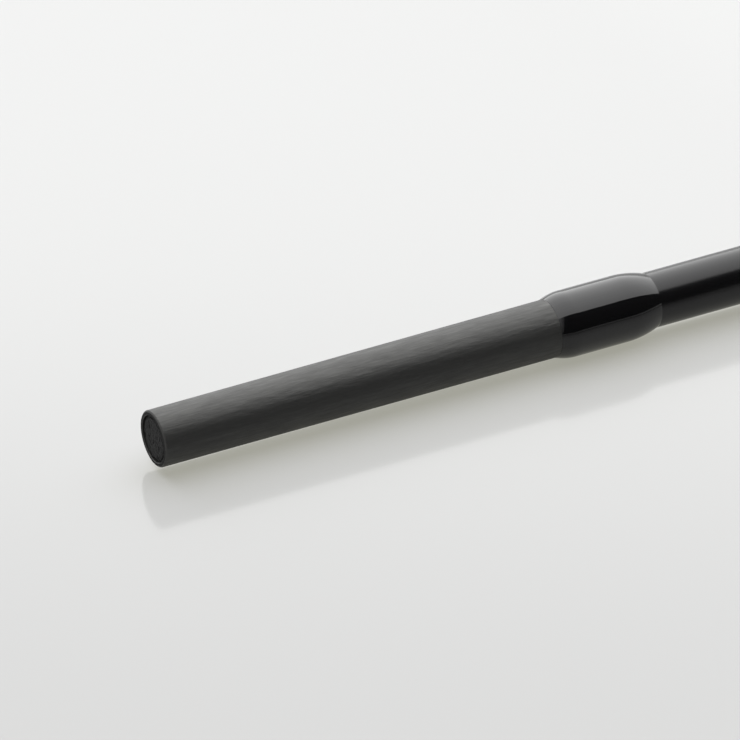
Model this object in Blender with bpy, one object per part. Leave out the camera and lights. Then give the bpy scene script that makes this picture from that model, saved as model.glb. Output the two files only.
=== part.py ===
"""A two-piece spod rod, lying on its side with its tip section pulled off the ferrule.

Every piece is modelled in the rod's own directions: x runs along the rod, from the free
end of the male ferrule towards the butt, and z points from the axis to the guide rings.
One empty lays the whole rod down, so that the butt cap and the butt guide touch the ground.
"""
import math

import bmesh
import bpy
from mathutils import Vector

for item in list(bpy.data.objects):
    bpy.data.objects.remove(item)

# Driving dimensions, in metres

ROD_LENGTH = 3.658
APART = 0.100

MALE_LENGTH = 0.110
MALE_END_DIAMETER = 0.0144
MALE_ROOT_DIAMETER = 0.0150
MALE_WALL = 0.0012
MALE_BEVEL = 0.0005
MALE_HIDDEN = 0.010
LAMINATE_RAMP = 0.012

HOME_GAP = 0.005
FERRULE_CLEARANCE = 0.00005
FEMALE_WALL = 0.00105
FEMALE_RAMP = 0.030

PLUG_RECESS = 0.0008
PLUG_LENGTH = 0.014

BLANK_TOP_DIAMETER = 0.0143
BLANK_BUTT_DIAMETER = 0.0185
BLANK_WALL = 0.0012
TIP_BLANK_DIAMETER = 0.0158
TIP_BLANK_WALL = 0.0010
TIP_END_DIAMETER = 0.0031
TIP_END_WALL = 0.0006

FERRULE_WHIP_LENGTH = 0.029
FERRULE_WHIP_DIAMETER = 0.0173
FERRULE_WHIP_FRONT = 0.0054
FERRULE_WHIP_REAR = 0.0085
FEMALE_WHIP_SETBACK = 0.0015
FEMALE_WHIP_LENGTH = 0.024
FEMALE_WHIP_SHOULDER = 0.0020
FEMALE_WHIP_COAT = 0.0003
WHIP_EDGE = 0.0001

BUTT_CAP_DIAMETER = 0.030
BUTT_CAP_LENGTH = 0.014
BUTT_CAP_FLOOR = 0.0045
BUTT_CAP_ROUND = 0.0020
BUTT_DISC_DIAMETER = 0.021
BUTT_DISC_THICKNESS = 0.0015
BUTT_DISC_PROUD = 0.0003

REAR_GRIP_LENGTH = 0.150
REAR_GRIP_BUTT_DIAMETER = 0.0284
REAR_GRIP_WAIST_DIAMETER = 0.0250
REAR_GRIP_WAIST_AT = 0.0675
REAR_GRIP_SWELL_LENGTH = 0.0225
REAR_GRIP_FRONT_DIAMETER = 0.0256
FORE_GRIP_LENGTH = 0.070
FORE_GRIP_REAR_DIAMETER = 0.0260
FORE_GRIP_FRONT_DIAMETER = 0.0212
GRIP_CHAMFER = 0.0012
CHECK_LENGTH = 0.004
CHECK_WALL = 0.0016

SEAT_CENTRE_FROM_BUTT = 0.640
SEAT_LENGTH = 0.120
SEAT_WALL = 0.002
ARBOR_WALL = 0.00135
ARBOR_LENGTH = 0.016
ARBOR_INSET = 0.004
DECK_WIDTH = 0.014
DECK_RISE = 0.001
DECK_CLEARANCE = 0.0009
DECK_SETBACK = 0.0027

THREAD_PITCH = 0.003
THREAD_DEPTH = 0.0006
THREAD_START = 0.002

HOOD_LENGTH = 0.022
HOOD_WALL = 0.0015
HOOD_TRAVEL = 0.024
POCKET_DEPTH = 0.015
POCKET_HEIGHT = 0.006
NUT_WALL = 0.0025
NUT_LENGTH = 0.016
NUT_FLUTE = 0.0007
NUT_CHAMFER = 0.0010
NUT_START = 0.003

# Each guide: ring diameter, distance from the tip top, ring centre above the blank,
# wire radius, foot length, foot width, wall of the ceramic ring

GUIDES = (
    (0.050, 2.150, 0.0410, 0.00140, 0.0235, 0.0046, 0.00285),
    (0.040, 1.550, 0.0335, 0.00124, 0.0199, 0.0040, 0.00250),
    (0.030, 1.060, 0.0260, 0.00108, 0.0163, 0.0034, 0.00215),
    (0.025, 0.680, 0.0220, 0.00100, 0.0145, 0.0031, 0.00198),
    (0.020, 0.390, 0.0180, 0.00092, 0.0127, 0.0028, 0.00180),
    (0.016, 0.175, 0.0148, 0.00086, 0.0113, 0.0026, 0.00166),
)
REAR_LEG_RUN = 0.60
FRONT_LEG_RUN = 0.30
REAR_LEG_LEAN = math.radians(35)
REAR_LEG_SPREAD = 0.7
REAR_LEG_BOW = (0.35, 0.45, 1.05)
FRONT_LEG_BOW = (0.25, 0.15)
LEG_INTO_FOOT = 1.2
HEEL_BEYOND_LEG = 2.5
FINE_RING_LIMIT = 0.035

TIP_RING_DIAMETER = 0.016
TIP_RING_OFFSET = 0.0095
TIP_RING_WALL = 0.00166
TIP_WIRE = 0.00077
TIP_BRACE_SETBACK = 0.004
TIP_BRACE_LEAN = math.radians(10)
TIP_BRACE_SEAT = 0.7
TIP_BRACE_BOW = (0.55, 0.8, 0.45)
TIP_TUBE_LENGTH = 0.014
TIP_TUBE_WALL = 0.0005
TIP_TUBE_ROUND = 0.0003
TIP_TUBE_FLOOR = 0.0012
TIP_WHIP_LENGTH = 0.009
TIP_WHIP_FRONT = 0.0012
TIP_WHIP_REAR = 0.0030

RING_WIDTH = 0.0032
RING_CHAMFER = 0.0003
RING_LIP_WIDTH = 0.0016
RING_SHOULDER = 0.45
BAND_WIDTH = 0.0024
BAND_THICKNESS = 0.0011
FOOT_THICKNESS = 0.0012
FOOT_TIP_THICKNESS = 0.0005
FOOT_TIP_WIDTH = 0.6
WHIP_COAT = 0.0005
WHIP_OVERRUN = 0.0040
WHIP_HEEL = 0.0015

# Clearances: bonded round pieces, running fits, and pieces whose facets don't line up

BOND_GAP = 0.0001
RUNNING_GAP = 0.00015
SEAT_GAP = 0.0003

SIDES = 24
SMALL_SIDES = 16
ARC_STEPS = 4
SMOOTH_ANGLE = math.radians(40)

# Sizes that follow

OVERLAP = MALE_LENGTH - HOME_GAP
SECTION = (ROD_LENGTH + OVERLAP) / 2
SHOULDER = MALE_LENGTH + MALE_HIDDEN
WHIP_END = MALE_LENGTH + FERRULE_WHIP_LENGTH
BLANK_END = SECTION - BUTT_DISC_THICKNESS - BUTT_CAP_FLOOR - SEAT_GAP
SEAT_FRONT = SECTION - SEAT_CENTRE_FROM_BUTT - SEAT_LENGTH / 2
TIP_BLANK_END = SECTION - RING_WIDTH - TIP_TUBE_FLOOR - SEAT_GAP


def between(x, x0, x1, low, high):
    """The value at x on the straight line from (x0, low) to (x1, high)."""
    return low + (high - low) * (x - x0) / (x1 - x0)


def polyline(points, x):
    """The radius at x of a profile given as (x, radius) points."""
    for (x0, low), (x1, high) in zip(points, points[1:]):
        if x <= x1:
            return between(x, x0, x1, low, high)
    return points[-1][1]


def male_radius(x):
    """Outer radius of the tapered male, x from its free end."""
    return between(x, 0, MALE_LENGTH, MALE_END_DIAMETER / 2, MALE_ROOT_DIAMETER / 2)


BUTT_PROFILE = [
    (0, male_radius(0)),
    (SHOULDER, male_radius(SHOULDER)),
    (SHOULDER + LAMINATE_RAMP, BLANK_TOP_DIAMETER / 2),
    (SECTION, BLANK_BUTT_DIAMETER / 2),
]


def butt_radius(x):
    """Outer radius of the butt section's blank, x from the male's free end."""
    return polyline(BUTT_PROFILE, x)


def bore_radius(depth):
    """Radius of the female bore, which clears the male all along when it is home."""
    return male_radius(OVERLAP - depth) + FERRULE_CLEARANCE


# The reel seat is built up on the blank: arbor, barrel, deck, nut and hoods

SEAT_BORE = 2 * (butt_radius(SEAT_FRONT + SEAT_LENGTH) + BOND_GAP + ARBOR_WALL)
SEAT_DIAMETER = SEAT_BORE + 2 * SEAT_WALL
NUT_DIAMETER = SEAT_DIAMETER + 2 * NUT_WALL
NUT_END = NUT_START + NUT_LENGTH
THREAD_TURNS = math.ceil((NUT_END + HOOD_TRAVEL - THREAD_START) / THREAD_PITCH)
MOVING_LIP = NUT_END + SEAT_GAP + HOOD_LENGTH
DECK_START = MOVING_LIP + HOOD_TRAVEL - POCKET_DEPTH + DECK_SETBACK
DECK_HEIGHT = SEAT_DIAMETER / 2 + DECK_RISE
POCKET_WIDTH = DECK_WIDTH + 2 * DECK_CLEARANCE
POCKET_CEILING = DECK_HEIGHT + POCKET_HEIGHT

TIP_PROFILE = [
    (0, bore_radius(0) + FEMALE_WALL),
    (OVERLAP, bore_radius(OVERLAP) + FEMALE_WALL),
    (OVERLAP + FEMALE_RAMP, TIP_BLANK_DIAMETER / 2),
    (TIP_BLANK_END, TIP_END_DIAMETER / 2),
]


def tip_radius(x):
    """Outer radius of the tip section's blank, x falling from 0 at the female mouth."""
    return polyline(TIP_PROFILE, -x)


class Guide:
    """Sizes of one guide."""

    def __init__(self, ring, height, wire, insert_wall, foot_length=0.0, foot_width=0.0):
        self.ring = ring
        self.height = height
        self.wire = wire
        self.insert_wall = insert_wall
        self.foot_length = foot_length
        self.foot_width = foot_width
        self.sides = SIDES if ring > FINE_RING_LIMIT else SMALL_SIDES
        self.band_inner = ring / 2 + BOND_GAP
        self.band_outer = self.band_inner + BAND_THICKNESS
        self.leg = self.band_inner + wire + BOND_GAP


def listed_guide(entry):
    """The guide of one line of the table, and its distance from the tip top."""
    ring, from_tip, height, wire, foot_length, foot_width, insert_wall = entry
    return Guide(ring, height, wire, insert_wall, foot_length, foot_width), from_tip


# Where the rod lies: on its largest handle radius and on the butt guide's ring

AXIS_HEIGHT = max(BUTT_CAP_DIAMETER, NUT_DIAMETER, REAR_GRIP_BUTT_DIAMETER) / 2
BUTT_GUIDE, BUTT_GUIDE_FROM_TIP = listed_guide(GUIDES[0])
BUTT_GUIDE_X = SECTION - ROD_LENGTH + BUTT_GUIDE_FROM_TIP
BUTT_GUIDE_REACH = butt_radius(BUTT_GUIDE_X) + BUTT_GUIDE.height
ROLL = math.asin((BUTT_GUIDE.band_outer - AXIS_HEIGHT) / BUTT_GUIDE_REACH)
AXIS_Y = (BUTT_GUIDE_REACH * math.cos(ROLL) + BUTT_GUIDE.band_outer - AXIS_HEIGHT) / 2


def material(name, colour, roughness, metallic=0.0):
    """A plain material with one colour."""
    made = bpy.data.materials.new(name)
    made.use_nodes = True
    shader = made.node_tree.nodes["Principled BSDF"]
    shader.inputs["Base Color"].default_value = (*colour, 1)
    shader.inputs["Roughness"].default_value = roughness
    shader.inputs["Metallic"].default_value = metallic
    made.diffuse_color = (*colour, 1)
    return made


GLOSS_CARBON = material("gloss_carbon", (0.006, 0.006, 0.007), 0.08)
PLUG_FOAM = material("plug", (0.012, 0.012, 0.012), 0.8)
THREAD = material("whipping", (0.005, 0.005, 0.006), 0.05)
FOAM = material("grip_foam", (0.015, 0.015, 0.015), 0.85)
SEAT_PLASTIC = material("seat_plastic", (0.012, 0.012, 0.013), 0.3)
DARK_METAL = material("dark_metal", (0.05, 0.05, 0.055), 0.3, 1.0)
FRAME_METAL = material("frame_metal", (0.03, 0.03, 0.033), 0.25, 1.0)
CERAMIC = material("ceramic", (0.03, 0.03, 0.035), 0.12)
ARBOR_FOAM = material("arbor", (0.25, 0.22, 0.16), 0.9)


def empty(name, parent=None):
    """An empty that carries pieces."""
    made = bpy.data.objects.new(name, None)
    bpy.context.scene.collection.objects.link(made)
    made.parent = parent
    return made


ROD = empty("rod_axis")
ROD.location = (APART / 2, AXIS_Y, AXIS_HEIGHT)
ROD.rotation_euler = (math.pi / 2 - ROLL, 0, 0)
TIP_SECTION = empty("tip_section_axis", ROD)
TIP_SECTION.location = (-APART, 0, 0)


def finish(bm, name, look, parent, at=0.0):
    """Turn a bmesh into a named piece whose origin is on the rod's axis at x = at."""
    bmesh.ops.recalc_face_normals(bm, faces=bm.faces[:])
    mesh = bpy.data.meshes.new(name)
    bm.to_mesh(mesh)
    bm.free()
    mesh.shade_smooth()
    mesh.set_sharp_from_angle(angle=SMOOTH_ANGLE)
    mesh.materials.append(look)
    piece = bpy.data.objects.new(name, mesh)
    bpy.context.scene.collection.objects.link(piece)
    piece.parent = parent
    piece.location = (at, 0, 0)
    return piece


def turned_mesh(profile, sides, centre=0.0):
    """Spin a profile of (x, radius) points about the x axis, raised by centre along z.

    A profile that starts and ends on the axis makes a solid, any other one makes a ring.
    """
    bm = bmesh.new()
    verts = [bm.verts.new((x, 0, radius)) for x, radius in profile]
    edges = [bm.edges.new(pair) for pair in zip(verts, verts[1:])]
    if profile[0][1] > 0:
        edges.append(bm.edges.new((verts[-1], verts[0])))
    bmesh.ops.spin(
        bm, geom=verts + edges, cent=(0, 0, 0), axis=(1, 0, 0),
        angle=2 * math.pi, steps=sides, use_merge=True,
    )
    bmesh.ops.remove_doubles(bm, verts=bm.verts[:], dist=1e-6)
    bmesh.ops.translate(bm, verts=bm.verts[:], vec=(0, 0, centre))
    return bm


def turned(name, profile, look, parent, at=0.0, sides=SIDES):
    """A turned piece on the rod's axis."""
    return finish(turned_mesh(profile, sides), name, look, parent, at)


def shell(name, outer, inner, angles, look, parent, at=0.0):
    """A ring whose outer and inner walls are stations of (x, radius for each angle)."""
    bm = bmesh.new()

    def wall(stations):
        rings = []
        for x, radii in stations:
            ring = []
            for radius, angle in zip(radii, angles):
                ring.append(bm.verts.new((x, radius * math.sin(angle), radius * math.cos(angle))))
            rings.append(ring)
        for near, far in zip(rings, rings[1:]):
            bridge(near, far)
        return rings

    def bridge(near, far):
        count = len(near)
        for i in range(count):
            j = (i + 1) % count
            bm.faces.new((near[i], near[j], far[j], far[i]))

    outer_rings = wall(outer)
    inner_rings = wall(inner)
    bridge(outer_rings[0], inner_rings[0])
    bridge(outer_rings[-1], inner_rings[-1])
    return finish(bm, name, look, parent, at)


def lofted(sections):
    """A closed solid through sections with as many corners each."""
    bm = bmesh.new()
    rings = [[bm.verts.new(corner) for corner in section] for section in sections]
    for near, far in zip(rings, rings[1:]):
        count = len(near)
        for i in range(count):
            j = (i + 1) % count
            bm.faces.new((near[i], near[j], far[j], far[i]))
    bm.faces.new(rings[0])
    bm.faces.new(rings[-1])
    return bm


def block(x, width, low, high):
    """Four corners of an upright rectangle across the rod at x."""
    half = width / 2
    return [(x, -half, low), (x, half, low), (x, half, high), (x, -half, high)]


def strut(points, radius):
    """A round wire with six sides along a smooth path."""
    curve = bpy.data.curves.new("strut", "CURVE")
    curve.dimensions = "3D"
    curve.bevel_depth = radius
    curve.bevel_resolution = 1
    curve.use_fill_caps = True
    spline = curve.splines.new("POLY")
    spline.points.add(len(points) - 1)
    for knot, point in zip(spline.points, points):
        knot.co = (*point, 1)
    wire = bpy.data.objects.new("strut", curve)
    mesh = bpy.data.meshes.new_from_object(wire)
    bm = bmesh.new()
    bm.from_mesh(mesh)
    bmesh.ops.remove_doubles(bm, verts=bm.verts[:], dist=1e-6)
    bpy.data.objects.remove(wire)
    return bm


def bend(start, middle, end, steps=5):
    """Points on the curve that leaves start towards middle and arrives at end."""
    a, b, c = Vector(start), Vector(middle), Vector(end)
    fractions = [i / steps for i in range(steps + 1)]
    return [a * (1 - t) ** 2 + b * 2 * t * (1 - t) + c * t * t for t in fractions]


def united(name, solids, look, parent, at=0.0):
    """One closed body from overlapping solids."""
    base = finish(solids[0], name, look, None)
    others = [finish(solid, name + "_member", look, None) for solid in solids[1:]]
    for other in others:
        union = base.modifiers.new("union", "BOOLEAN")
        union.operation = "UNION"
        union.solver = "EXACT"
        union.object = other
    depsgraph = bpy.context.evaluated_depsgraph_get()
    mesh = bpy.data.meshes.new_from_object(base.evaluated_get(depsgraph))
    for used in (base, *others):
        bpy.data.objects.remove(used)
    bm = bmesh.new()
    bm.from_mesh(mesh)
    bmesh.ops.remove_doubles(bm, verts=bm.verts[:], dist=2e-6)
    bmesh.ops.dissolve_degenerate(bm, edges=bm.edges[:], dist=2e-6)
    return finish(bm, name, look, parent, at)


def shoulder(x0, x1, low, high):
    """Points from (x0, low) up a rounded shoulder of resin to (x1, high)."""
    points = []
    for i in range(ARC_STEPS + 1):
        left = 1 - i / ARC_STEPS
        points.append((x1 + (x0 - x1) * left, high + (low - high) * left ** 2))
    return points


def quarter(x0, x1, low, high):
    """Points from (x0, low) up a quarter of an ellipse to (x1, high)."""
    points = []
    for i in range(ARC_STEPS + 1):
        turn = math.pi / 2 * i / ARC_STEPS
        x = x1 + (x0 - x1) * math.cos(turn)
        points.append((x, low + (high - low) * math.sin(turn)))
    return points


def plain_whipping(name, radius_at, x0, x1, breaks, peak, rise0, rise1, parent):
    """Thread and resin wound on a bare blank, with a rounded shoulder at each end."""
    inner = [(x, radius_at(x) + BOND_GAP) for x in (x0, *breaks, x1)]
    low0 = inner[0][1] + WHIP_EDGE
    low1 = inner[-1][1] + WHIP_EDGE
    outer = shoulder(x0, x0 + rise0, low0, peak)
    outer += list(reversed(shoulder(x1, x1 - rise1, low1, peak)))
    turned(name, outer + list(reversed(inner)), THREAD, parent)


def sleeve(name, outer, radius_at, look, parent):
    """A bored piece on the blank: outer is its profile, front to rear."""
    front = outer[0][0]
    rear = outer[-1][0]
    inner = [(rear, radius_at(rear) + BOND_GAP), (front, radius_at(front) + BOND_GAP)]
    return turned(name, list(outer) + inner, look, parent)


# Butt section: the blank with its male ferrule, the plug and the whipping

def butt_blank():
    """The tapered tube; its upper end, ground to size, is the male of the ferrule."""
    outer = [(0, male_radius(0) - MALE_BEVEL), (MALE_BEVEL, male_radius(MALE_BEVEL))]
    outer += BUTT_PROFILE[1:-1]
    outer.append((BLANK_END, butt_radius(BLANK_END)))
    inner = [
        (BLANK_END, butt_radius(BLANK_END) - BLANK_WALL),
        (SHOULDER + LAMINATE_RAMP, BLANK_TOP_DIAMETER / 2 - BLANK_WALL),
        (PLUG_RECESS + PLUG_LENGTH, male_radius(0) - MALE_WALL),
        (0, male_radius(0) - MALE_WALL),
    ]
    turned("butt_blank", outer + inner, GLOSS_CARBON, ROD)


def ferrule_end_plug():
    """The plug that closes the male's bore, just inside its free end."""
    radius = male_radius(0) - MALE_WALL - BOND_GAP
    back = PLUG_RECESS + PLUG_LENGTH
    profile = [(PLUG_RECESS, 0), (PLUG_RECESS, radius), (back, radius), (back, 0)]
    turned("ferrule_end_plug", profile, PLUG_FOAM, ROD)


# Guides

def foot_whipping(name, guide, radius_at, tip_x, root_x, heel_x, parent, at):
    """Thread and resin over a guide's foot: it follows the blank and rises over the foot."""
    step = 2 * math.pi / SMALL_SIDES
    angles = [step * i for i in range(SMALL_SIDES)]
    away = 1 if tip_x > heel_x else -1
    end_x = tip_x + away * WHIP_OVERRUN
    rise_x = tip_x + away * WHIP_OVERRUN / 2
    shoulder_x = heel_x + away * WHIP_HEEL

    def foot_top(x):
        return SEAT_GAP + between(x, tip_x, root_x, FOOT_TIP_THICKNESS, FOOT_THICKNESS)

    def radii(x, rise, coat):
        base = radius_at(x) + SEAT_GAP
        made = []
        for angle in angles:
            off = min(angle, 2 * math.pi - angle)
            over_foot = rise and off < step * 1.5
            radius = (base + rise) / math.cos(off) if over_foot else base
            made.append(radius + coat)
        return made

    stations = [
        (end_x, 0, WHIP_EDGE),
        (rise_x, 0, WHIP_COAT),
        (tip_x, foot_top(tip_x), WHIP_COAT),
        (shoulder_x, foot_top(shoulder_x), WHIP_COAT),
        (heel_x, foot_top(heel_x), WHIP_EDGE),
    ]
    outer = [(x - at, radii(x, rise, coat)) for x, rise, coat in stations]
    inner = [(x - at, radii(x, rise, 0)) for x, rise, coat in stations]
    shell(name, outer, inner, angles, THREAD, parent, at)


def ring_insert(name, guide, centre, x, parent):
    """The ceramic ring that the line runs through, rounded on the inside."""
    outer = guide.ring / 2
    hole = outer - guide.insert_wall
    half = RING_WIDTH / 2
    flat = half - RING_CHAMFER
    shoulder = outer - guide.insert_wall * RING_SHOULDER
    lip = RING_LIP_WIDTH / 2
    profile = [
        (-flat, outer), (flat, outer), (half, shoulder),
        (lip, hole), (-lip, hole), (-half, shoulder),
    ]
    finish(turned_mesh(profile, guide.sides, centre), name, CERAMIC, parent, x)


def ring_band(guide, centre):
    """The frame's band, which holds the ceramic ring."""
    half = BAND_WIDTH / 2
    profile = [
        (-half, guide.band_inner),
        (-half, guide.band_outer),
        (half, guide.band_outer),
        (half, guide.band_inner),
    ]
    return turned_mesh(profile, guide.sides, centre)


def guide_assembly(label, guide, radius_at, x, parent):
    """A three-legged guide on its two feet, with its ring and both whippings."""
    blank = radius_at(x)
    centre = blank + guide.height
    leg = guide.leg
    feet = {}
    solids = [ring_band(guide, centre)]
    for end, away, share in (("rear", 1, REAR_LEG_RUN), ("front", -1, FRONT_LEG_RUN)):
        run = guide.height * share
        root = x + away * run
        tip = root + away * guide.foot_length
        feet[end] = (root, tip)
        sections = []
        for place, width, thickness in (
            (root, guide.foot_width, FOOT_THICKNESS),
            (tip, guide.foot_width * FOOT_TIP_WIDTH, FOOT_TIP_THICKNESS),
        ):
            low = radius_at(place) + SEAT_GAP
            sections.append(block(place - x, width, low, low + thickness))
        solids.append(lofted(sections))
        foot_z = radius_at(root) + SEAT_GAP + guide.wire
        joint = away * (run + guide.wire * LEG_INTO_FOOT)
        if end == "front":
            along, up = FRONT_LEG_BOW
            start = (0, 0, centre - leg)
            middle = (away * run * along, 0, blank + guide.height * up)
            path = bend(start, middle, (joint, 0, foot_z))
            solids.append(strut(path, guide.wire))
        else:
            along, across, down = REAR_LEG_BOW
            reach = leg * math.cos(REAR_LEG_LEAN)
            drop = leg * math.sin(REAR_LEG_LEAN)
            for side in (-1, 1):
                start = (0, side * reach, centre - drop)
                middle = (run * along, side * leg * across, centre - leg * down)
                end_y = side * guide.wire * REAR_LEG_SPREAD
                path = bend(start, middle, (joint, end_y, foot_z))
                solids.append(strut(path, guide.wire))
    united(label + "_frame", solids, FRAME_METAL, parent, x)
    ring_insert(label + "_ring", guide, centre, x, parent)
    for end, (root, tip) in feet.items():
        away = 1 if tip > root else -1
        heel = root + away * guide.wire * HEEL_BEYOND_LEG
        foot_whipping(f"{label}_{end}_whipping", guide, radius_at, tip, root, heel, parent, x)


def tip_top():
    """The tip guide: a tube bonded over the blank's end, with a braced ring."""
    guide = Guide(TIP_RING_DIAMETER, TIP_RING_OFFSET, TIP_WIRE, TIP_RING_WALL)
    ring_x = -(SECTION - RING_WIDTH / 2)
    bore = tip_radius(-TIP_BLANK_END) + SEAT_GAP
    mouth = -(TIP_BLANK_END + SEAT_GAP - TIP_TUBE_LENGTH)
    socket = -(TIP_BLANK_END + SEAT_GAP)
    closed = socket - TIP_TUBE_FLOOR
    taper = tip_radius(mouth) + SEAT_GAP
    profile = [
        (closed - ring_x, 0),
        (closed - ring_x, bore + TIP_TUBE_WALL - TIP_TUBE_ROUND),
        (socket - ring_x, bore + TIP_TUBE_WALL),
        (mouth - ring_x, taper + TIP_TUBE_WALL),
        (mouth - ring_x, taper),
        (socket - ring_x, bore),
        (socket - ring_x, 0),
    ]
    centre = guide.height
    solids = [turned_mesh(profile, SMALL_SIDES), ring_band(guide, centre)]
    back = mouth - ring_x - TIP_BRACE_SETBACK
    seat = (taper + TIP_TUBE_WALL / 2) * TIP_BRACE_SEAT
    along, across, up = TIP_BRACE_BOW
    reach = guide.leg * math.cos(TIP_BRACE_LEAN)
    drop = guide.leg * math.sin(TIP_BRACE_LEAN)
    for side in (-1, 1):
        start = (0, side * reach, centre - drop)
        middle = (back * along, side * guide.leg * across, centre * up)
        path = bend(start, middle, (back, side * seat, seat))
        solids.append(strut(path, guide.wire))
    united("tip_top_frame", solids, FRAME_METAL, TIP_SECTION, ring_x)
    ring_insert("tip_top_ring", guide, centre, ring_x, TIP_SECTION)
    front = mouth + SEAT_GAP
    plain_whipping(
        "tip_top_whipping", tip_radius, front, front + TIP_WHIP_LENGTH, (),
        tip_radius(front) + BOND_GAP + WHIP_COAT, TIP_WHIP_FRONT, TIP_WHIP_REAR, TIP_SECTION,
    )


# Handle

def hood(name, lip_x, opens, look):
    """A cowl on the seat's barrel with a pocket for one end of the reel foot.

    The lip is at lip_x, and opens is the direction, along x, in which the pocket opens.
    """
    angles = [math.radians(15 * i) for i in range(24)]
    corner = math.atan(POCKET_WIDTH / 2 / POCKET_CEILING)
    angles = sorted(angles + [corner, 2 * math.pi - corner])
    bore = SEAT_DIAMETER / 2 + SEAT_GAP
    collar = bore + HOOD_WALL

    def cowl(ceiling, half_width, least):
        made = []
        for angle in angles:
            up = math.cos(angle) / ceiling
            across = math.sin(angle) / half_width
            reach = (up ** 4 + across ** 4) ** -0.25 if up > 0 else least
            made.append(max(least, reach))
        return made

    pocket = cowl(POCKET_CEILING, POCKET_WIDTH / 2, bore)
    outside = cowl(POCKET_CEILING + HOOD_WALL, POCKET_WIDTH / 2 + HOOD_WALL, collar)
    plain_bore = [bore] * len(angles)
    plain_collar = [collar] * len(angles)
    blend = POCKET_DEPTH + HOOD_WALL
    outer = [(0, outside), (-opens * blend, outside), (-opens * HOOD_LENGTH, plain_collar)]
    inner = [
        (0, pocket),
        (-opens * POCKET_DEPTH, pocket),
        (-opens * (POCKET_DEPTH + SEAT_GAP), plain_bore),
        (-opens * HOOD_LENGTH, plain_bore),
    ]
    shell(name, outer, inner, angles, look, ROD, lip_x)


def reel_seat():
    """The seat's barrel: thread at the front, flat deck for the reel foot, hood at the rear."""
    radius = SEAT_DIAMETER / 2
    root = radius - THREAD_DEPTH
    outer = [(0, root)]
    for turn in range(THREAD_TURNS):
        start = THREAD_START + turn * THREAD_PITCH
        outer.append((start, root))
        outer.append((start + THREAD_PITCH / 2, radius))
    outer.append((THREAD_START + THREAD_TURNS * THREAD_PITCH, root))
    outer.append((THREAD_START + THREAD_TURNS * THREAD_PITCH + THREAD_DEPTH, radius))
    outer.append((SEAT_LENGTH, radius))
    inner = [(SEAT_LENGTH, SEAT_BORE / 2), (0, SEAT_BORE / 2)]
    barrel = turned_mesh(outer + inner, SIDES)
    deck_end = SEAT_LENGTH - HOOD_LENGTH - SEAT_GAP
    low = (SEAT_DIAMETER + SEAT_BORE) / 4
    deck = lofted([
        block(DECK_START, DECK_WIDTH, low, DECK_HEIGHT),
        block(deck_end, DECK_WIDTH, low, DECK_HEIGHT),
    ])
    united("reel_seat", [barrel, deck], SEAT_PLASTIC, ROD, SEAT_FRONT)
    hood("fixed_hood", SEAT_FRONT + SEAT_LENGTH - HOOD_LENGTH, -1, DARK_METAL)
    for name, front in (
        ("seat_arbor_front", ARBOR_INSET),
        ("seat_arbor_rear", SEAT_LENGTH - ARBOR_INSET - ARBOR_LENGTH),
    ):
        x0 = SEAT_FRONT + front
        profile = [(x0, SEAT_BORE / 2 - BOND_GAP), (x0 + ARBOR_LENGTH, SEAT_BORE / 2 - BOND_GAP)]
        sleeve(name, profile, butt_radius, ARBOR_FOAM, ROD)


def lock_nut_and_hood():
    """The fluted nut on the seat's thread, and the hood that it pushes along."""
    nut_x = SEAT_FRONT + NUT_START
    angles = [math.radians(15 * i) for i in range(SIDES)]
    bore = [SEAT_DIAMETER / 2 + RUNNING_GAP] * SIDES
    grip = [NUT_DIAMETER / 2 - (NUT_FLUTE if i % 2 else 0) for i in range(SIDES)]
    edge = [NUT_DIAMETER / 2 - NUT_CHAMFER] * SIDES
    outer = [
        (0, edge),
        (NUT_CHAMFER, grip),
        (NUT_LENGTH - NUT_CHAMFER, grip),
        (NUT_LENGTH, edge),
    ]
    shell("lock_nut", outer, [(0, bore), (NUT_LENGTH, bore)], angles, DARK_METAL, ROD, nut_x)
    hood("moving_hood", SEAT_FRONT + MOVING_LIP, 1, DARK_METAL)


def check(name, front, radius_front, radius_rear):
    """A short metal ring that trims the end of a grip or of the seat."""
    profile = [(front, radius_front), (front + CHECK_LENGTH, radius_rear)]
    sleeve(name, profile, butt_radius, DARK_METAL, ROD)


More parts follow.
